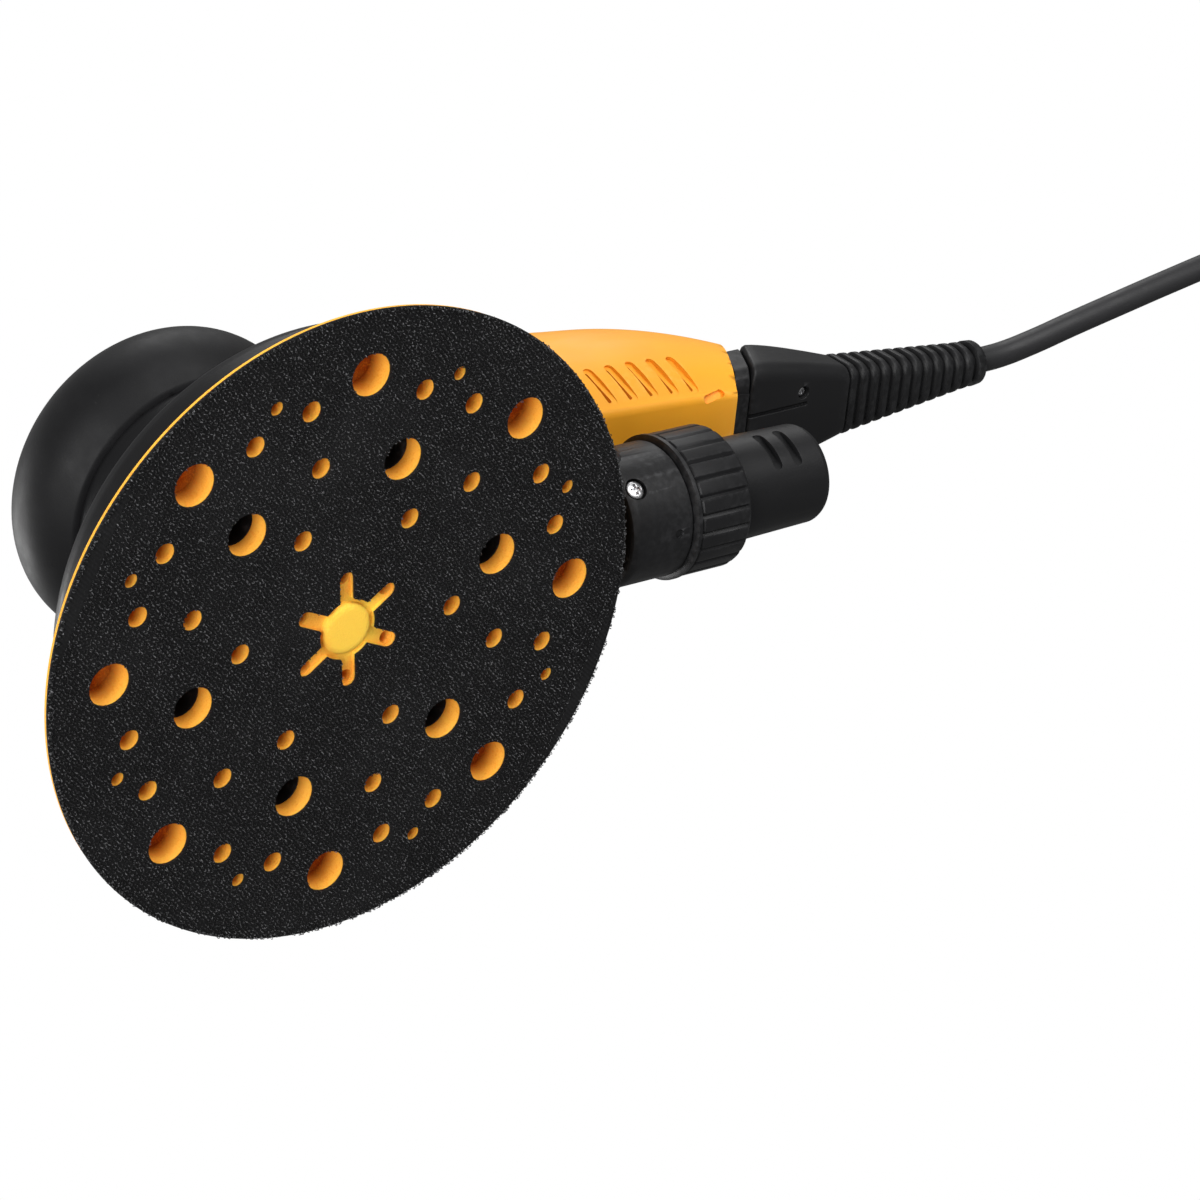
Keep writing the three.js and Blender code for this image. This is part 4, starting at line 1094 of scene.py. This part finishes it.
def collar():
    """The ribbed ring: broad rounded ribs with narrow grooves, and a plain flange at the front."""
    start, end, r = COLLAR["start"], COLLAR["end"], COLLAR["r"]
    per_rib = 14
    sides = COLLAR["ribs"] * per_rib
    front = start + COLLAR["flange"]

    def ring(y, base, ribbed):
        points = []
        for k, (a, b) in enumerate(circle(1, sides)):
            height = smooth_step((0.5 - abs((k % per_rib) / per_rib - 0.5)) / 0.17)
            q = base + COLLAR["rib"] * height * ribbed
            points.append((q * a, y, OUTLET["z"] + q * b))
        return points

    outer = [(start, 0.3, 0), (start + 0.35, 1.0, 0), (front - 0.3, 1.0, 0), (front, 0.75, 0),
             (front + 0.15, 0, 0.15), (front + 0.8, 0, 1), (end - 1.9, 0, 1), (end - 1.1, 0, 0.6),
             (end - 0.6, -0.1, 0), (end - 0.15, -0.5, 0), (end, -1.1, 0)]
    inner = [(end, 0.5), (end - 0.5, 0), (start + 0.5, 0), (start, 0.4)]
    rings = [ring(y, r + grow, ribbed) for y, grow, ribbed in outer]
    rings += [ring(y, COLLAR["bore"] + grow, 0) for y, grow in inner]
    obj = loft("collar_ring", rings, caps=False)
    finish_piece(obj, "soft_rubber", "collar", ("collar_ring",), "black_plastic")


def nozzle():
    """The hose spigot, with two bayonet slots in its wall."""
    start, end, r, tip, bore = (NOZZLE[k] for k in ("start", "end", "r", "tip", "bore"))
    z, shoulder = OUTLET["z"], COLLAR["end"] + 1
    outline = [(bore, start), (r, start), (r, shoulder), (r - 0.05, shoulder + 2), (tip + 0.1, end - 1.2),
               (tip - 0.5, end), (bore + 0.5, end), (bore, end - 0.6)]
    pipe = lathe("outlet_nozzle", rounded(outline, 0.4, 3), (0, z), 112, "Y")
    for y in NOZZLE["slots"]:
        turn = Matrix.Translation((0, y, z)) @ Matrix.Rotation(radians(113), 4, "Y")
        cut(pipe, moved(capsule(5.6, 1.3, r - 1.9, r + 3), turn))
    soften(pipe, 0.3, 3, 42)
    finish_piece(pipe, "black_plastic", "nozzle", ("outlet_nozzle",))


# ---- handle ----
def handle_half_width(y, z):
    """How far from the middle the handle's flank is at this place."""
    stations = len(HANDLE) - 1
    position = next(k for k in range(stations) if HANDLE[k + 1][0] >= y)
    position += (y - HANDLE[position][0]) / (HANDLE[position + 1][0] - HANDLE[position][0])
    ring = handle_ring(position, 0)
    return min((abs(pz - z), px) for px, _, pz in ring if px > 5)[1]


def vent_tools(side):
    """The recesses, and the narrower slots that go through the wall in the front half of each recess."""
    recesses, slots = [], []
    lay = Matrix.Rotation(VENT["lay"] * side, 4, "Y")
    tilt = Matrix.Rotation(VENT["lean"], 4, "X") @ Matrix.Rotation(side * pi / 2, 4, "Y")
    if side < 0:
        tilt = tilt @ Matrix.Rotation(pi, 4, "Z")
    for k in range(VENT["count"]):
        y, z = VENT["y"] + k * VENT["pitch"], VENT["z"] + k * VENT["rise"]
        flank = handle_half_width(y, z)
        recess = capsule(VENT["tall"] / 2 + 0.4, VENT["wide"] * 0.66, -1.0, 6)
        slot = capsule(VENT["tall"] / 2 - 0.5, VENT["wide"] * 0.3, -6, 6)
        for tool, shift, group in ((recess, 0.0, recesses), (slot, -0.62, slots)):
            place = Matrix.Translation((side * flank, y + shift, z)) @ lay @ tilt
            group.append(moved(tool, place))
    hollows = boolean(joined("recesses", recesses), handle_solid(VENT["deep"]))
    return hollows, joined("slots", slots)


def shell_screw_places():
    return [Matrix.Translation((-x, y, z)) @ Matrix.Rotation(-pi / 2, 4, "Y") for y, z, x in SCREW_SEATS]


def panel_place():
    return Matrix.Translation((0, PANEL["y"], PANEL["z"])) @ Matrix.Rotation(-PANEL["tilt"], 4, "X")


def panel_block(grow, above):
    """The panel's rounded block, up to a height above its face."""
    half, long = PANEL["half"] + grow, PANEL["long"] / 2 + grow
    outline = rounded([(-half, -long), (half, -long), (half, long), (-half, long)], 3.2, 6)
    return loft("panel_block", [[(x, y, z) for x, y in outline] for z in (-5.4 - grow, above)])


def handle_shell():
    """The hollow handle in one piece, with the lever's well, the panel's opening and room for the head."""
    whole = handle_solid(0, "handle_shell")
    cut(whole, rim_wedge(0, 70))
    hollow = handle_solid(2.2)
    well = block(-13.4, 13.4, 39.5, 58, 79, 110)
    cut(hollow, boolean(block(-15.6, 15.6, 37.3, 60.2, 76.8, 110), handle_solid(0.5), "INTERSECT"))
    neck = NECK_R + CLEAR
    head = lathe("head", [(0, 30), (38, 30), (37, 37.4), (33.5, 42), (neck, 48.2), (neck, 110), (0, 110)])
    cut(whole, hollow, well, moved(panel_block(CLEAR, 12), panel_place()), head)
    return whole


def handle():
    """The shell split at a seam, with vents in both halves, a latch notch right and screws left."""
    whole = handle_shell()
    seam = 0.12
    for name, side in (("right", 1), ("left", -1)):
        half = added(f"handle_{name}", whole.data.copy())
        near, far = sorted((seam * side, 80 * side))
        boolean(half, block(near, far, -10, 190, 0, 130), "INTERSECT")
        cut(half, *vent_tools(side))
        if side > 0:
            turn = Matrix.Rotation(2.4, 4, "Y") @ Matrix.Rotation(1.75, 4, "Z")
            notch = capsule(3.6, 1.0, -1.1, 6)
            cut(half, moved(notch, Matrix.Translation((13.0, 128.5, 41.2)) @ turn))
        else:
            for place in shell_screw_places():
                cut(half, moved(rod(2.65, -2.2, 20, sides=36), place))
        tidy(half, 30)
        soften(half, 0.32, 3, 48)
        finish_piece(half, "yellow_shell", "housing", (f"handle_shell_{name}",))
    bpy.data.objects.remove(whole)
    for k, place in enumerate(shell_screw_places()):
        screw(f"handle_screw_{k + 1}", place, 2.2, f"shell_screw_{k + 1}")


# ---- lever and control panel ----
def lever():
    """The start lever: a crowned plate with finger grooves, and two ears round the hinge pin."""
    front, rear, half = LEVER["front"], LEVER["rear"], LEVER["half"]
    low, rear_low, top, rear_top = LEVER["low"], LEVER["rear_low"], LEVER["top"], LEVER["rear_top"]
    outline = [(front, low), (front, top - 2.2), (front + 3, top - 0.6), (front + 12, top), (rear - 20, top),
               (rear - 6, rear_top + 0.4), (rear, rear_top - 2.4), (rear, rear_low)]
    fine = rounded(outline, 2.6, 6)
    rings = []
    for t, drop in ((1.0, 2.0), (0.985, 1.35), (0.955, 0.75), (0.9, 0.28), (0.82, 0.05), (0.7, 0.0)):
        rings.append([(-half * t, y, z - drop * smooth_step((z - rear_low) / (top - rear_low)))
                      for y, z in fine])
    rings += [[(-x, y, z) for x, y, z in ring] for ring in reversed(rings)]
    plate = loft("lever_plate", rings)
    y, z, ear = HINGE["y"], HINGE["z"], HINGE["ear"]
    for side in (-1, 1):
        x0, x1 = sorted((6.5 * side, 10.5 * side))
        boolean(plate, block(x0, x1, y - ear, y + ear, z, low + 1.5), "UNION")
        boolean(plate, rod_x(ear, x0, x1, y, z), "UNION")
    cut(plate, rod_x(HINGE["bore"], -20, 20, y, z), rod(2.8, 80, 87.5, 0, 100, 32))
    places = [Matrix.Translation((0, 92 + 3.2 * k, top)) for k in range(5)]
    cut(plate, joined("grooves", [moved(capsule(7.0, 0.55, -0.45, 3), place) for place in places]))
    soften(plate, 0.18, 2, 45)
    finish_piece(plate, "black_plastic", "lever", ("lever",))


def mark(name, strokes, place, body):
    """A printed mark made of thin bars or rings, which stand just proud of the button."""
    finish_piece(moved(joined(name, strokes), place), "grey_plastic", body, material="mark_ink")


def power_arc(x, y, r, half, low, high):
    """Most of a thin ring, open towards the rear."""
    steps = 28
    turns = [radians(125 + 290 * k / steps) for k in range(steps + 1)]
    outer = [(x + (r + half) * cos(turn), y + (r + half) * sin(turn)) for turn in turns]
    inner = [(x + (r - half) * cos(turn), y + (r - half) * sin(turn)) for turn in reversed(turns)]
    return loft("power_arc", [[(px, py, z) for px, py in outer + inner] for z in (low, high)])


def control_panel(place):
    panel = panel_block(0, 0)
    for x, y, r in [*BUTTONS.values(), LAMP]:
        cut(panel, rod(r + CLEAR, -4.6, 1, x, y, 48))
    soften(panel, 0.35, 3, 42)
    finish_piece(moved(panel, place), "black_plastic", "housing", ("control_panel",))


def controls():
    """The panel, its three buttons with their marks, and the lamp."""
    place = panel_place()
    control_panel(place)
    for name, (x, y, r) in BUTTONS.items():
        outline = [(0, -2.8), (r, -2.8), (r, 0.2), (r - 0.25, 0.62), (r - 0.6, 0.84), (r - 0.9, 0.88),
                   (r * 0.5, 0.8), (0, 0.78)]
        cap = moved(lathe(f"{name}_cap", outline, (x, y), 64), place)
        finish_piece(cap, "grey_plastic", name, (name,))
    long, thick, low, high = 1.25, 0.2, 0.7, 0.9
    for name, upright in (("speed_up_button", True), ("speed_down_button", False)):
        x, y, _ = BUTTONS[name]
        strokes = [block(x - long, x + long, y - thick, y + thick, low, high)]
        if upright:
            strokes += [block(x - thick, x + thick, y - long, y - thick - 0.02, low, high),
                        block(x - thick, x + thick, y + thick + 0.02, y + long, low, high)]
        mark(f"{name}_mark", strokes, place, name)
    x, y, _ = BUTTONS["power_button"]
    strokes = [power_arc(x, y, 1.5, 0.22, low, high),
               block(x - thick, x + thick, y + 0.5, y + 1.9, low, high)]
    mark("power_mark", strokes, place, "power_button")
    x, y, r = LAMP
    lens = lathe("lamp_lens", [(0, -4.2), (r, -4.2), (r, 0), (r * 0.7, 0.24), (0, 0.34)], (x, y), 40)
    finish_piece(moved(lens, place), "lamp_lens", "housing", ("status_lamp",))


# ---- cable inlet, connector and strain relief ----
def behind_rim(z, shift):
    return RIM["y"] + (z - RIM["z"]) * RIM["lean"] + shift


def inlet_socket():
    """The block in the handle's rear, with a flange that closes the shell."""
    half, low, high, joint, lean = SOCKET["half"], SOCKET["low"], SOCKET["high"], SOCKET["joint"], RIM["lean"]
    middle = (low + high) / 2
    socket = loft("inlet_socket", [rounded_ring(122, half, low, high, 4),
                                   rounded_ring(behind_rim(middle, joint - 0.5), half, low, high, 4, lean),
                                   rounded_ring(behind_rim(middle, joint), half - 0.4, low + 0.4, high - 0.4,
                                                3.7, lean)])
    boolean(socket, handle_solid(2.5), "INTERSECT")
    steps = ((0.4, 0.4), (0.8, 0), (joint - 0.5, 0), (joint, 0.5))
    flange = loft("flange", [rounded_ring(behind_rim(middle, shift), half + 2.3 - inset, low + 0.4 + inset,
                                          high - 0.2 - inset, 4, lean) for shift, inset in steps])
    boolean(socket, flange, "UNION")
    soften(socket, 0.2, 2, 45)
    finish_piece(socket, "black_plastic", "housing", ("inlet_socket",))


def cable_connector():
    """The detachable connector, which narrows from the handle's rim to the strain relief."""
    part, lean = CONNECTOR, RIM["lean"]
    half, low, high = part["lip_half"], part["lip_low"], part["lip_high"]
    front, rear = behind_rim(53.1, SOCKET["joint"] + CLEAR), RELIEF["start"] - CLEAR
    rings = [rounded_ring(front, half - 1, low + 0.6, high - 0.6, 4, lean),
             rounded_ring(front + 0.7, half - 0.2, low + 0.1, high - 0.1, 4, lean)]
    for k in range(13):
        t = k / 12
        ease = t ** 1.25
        rings.append(rounded_ring(mix(front + 1.4, rear - 0.7, t), mix(half, part["rear_half"], ease),
                                  mix(low, part["rear_low"], ease), mix(high, part["rear_high"], ease),
                                  4 - 0.5 * t, lean * (1 - t)))
    rings.append(rounded_ring(rear, part["rear_half"] - 0.5, part["rear_low"] + 0.5, part["rear_high"] - 0.5,
                              3.2))
    body = loft("cable_connector", rings)
    x, y, z = part["screw"]
    along = Matrix.Translation((2.9, 153, low)) @ Matrix.Rotation(pi / 2, 4, "Z")
    cut(body, rod(1.65, 40, z + 1.5, x, y, 36), moved(capsule(9.5, 0.5, -1, 1), along))
    soften(body, 0.3, 3, 42)
    finish_piece(body, "black_plastic", "housing", ("connector_body",))
    turn = Matrix.Translation((x, y, z + 0.5)) @ Matrix.Rotation(pi, 4, "X")
    screw("connector_screw_head", turn, 1.3, "connector_screw")


def strain_relief():
    """The ribbed sleeve, flat at the connector and round where the cord leaves it."""
    start, end, z, ribs, tip = (RELIEF[k] for k in ("start", "end", "z", "ribs", "tip"))
    pitch = (end - 3 - start) / ribs
    groove = 1.15
    profile = ((0.06, 0.12), (0.14, 0.0), (0.44, 0.0), (0.54, 0.14), (0.6, 0.5), (0.64, groove),
               (0.94, groove))
    stations = [(start, 0.5)]
    for k in range(ribs):
        stations += [(start + (k + f) * pitch, inset) for f, inset in profile]
    stations += [(end - 3, 0.3), (end - 2.7, -0.2), (end - 0.5, -0.2), (end - 0.1, 0.15), (end, 0.6)]
    rings = []
    for y, inset in stations:
        t = (y - start) / (end - start)
        half, high = mix(9.4, tip, t) - inset, mix(6.2, tip, t) - inset
        corner = min(half, high) * (0.55 + 0.4 * t)
        rings.append(rounded_ring(y, half, z - high, z + high, corner, per_corner=9))
    relief = loft("strain_relief", rings)
    tidy(relief, 50)
    finish_piece(relief, "soft_rubber", "housing", ("strain_relief",), "black_plastic")


grip_dome()
motor_housing()
shroud()
exhaust_body()
collar()
nozzle()
handle()
lever()
controls()
inlet_socket()
cable_connector()
strain_relief()


# ---- CAD nodes that keep their shape ----
def dress_kept_nodes():
    """Gives the inner parts, which no piece replaces, the finish of their slot."""
    slots = {part["node"]: part["material_slot"] for part in frame["record"]["subparts"]}
    for name, obj in frame["nodes"].items():
        slot_name = slots.get(name)
        if slot_name in FINISHES:
            obj.data.materials.clear()
            obj.data.materials.append(FINISHES[slot_name].material)


dress_kept_nodes()
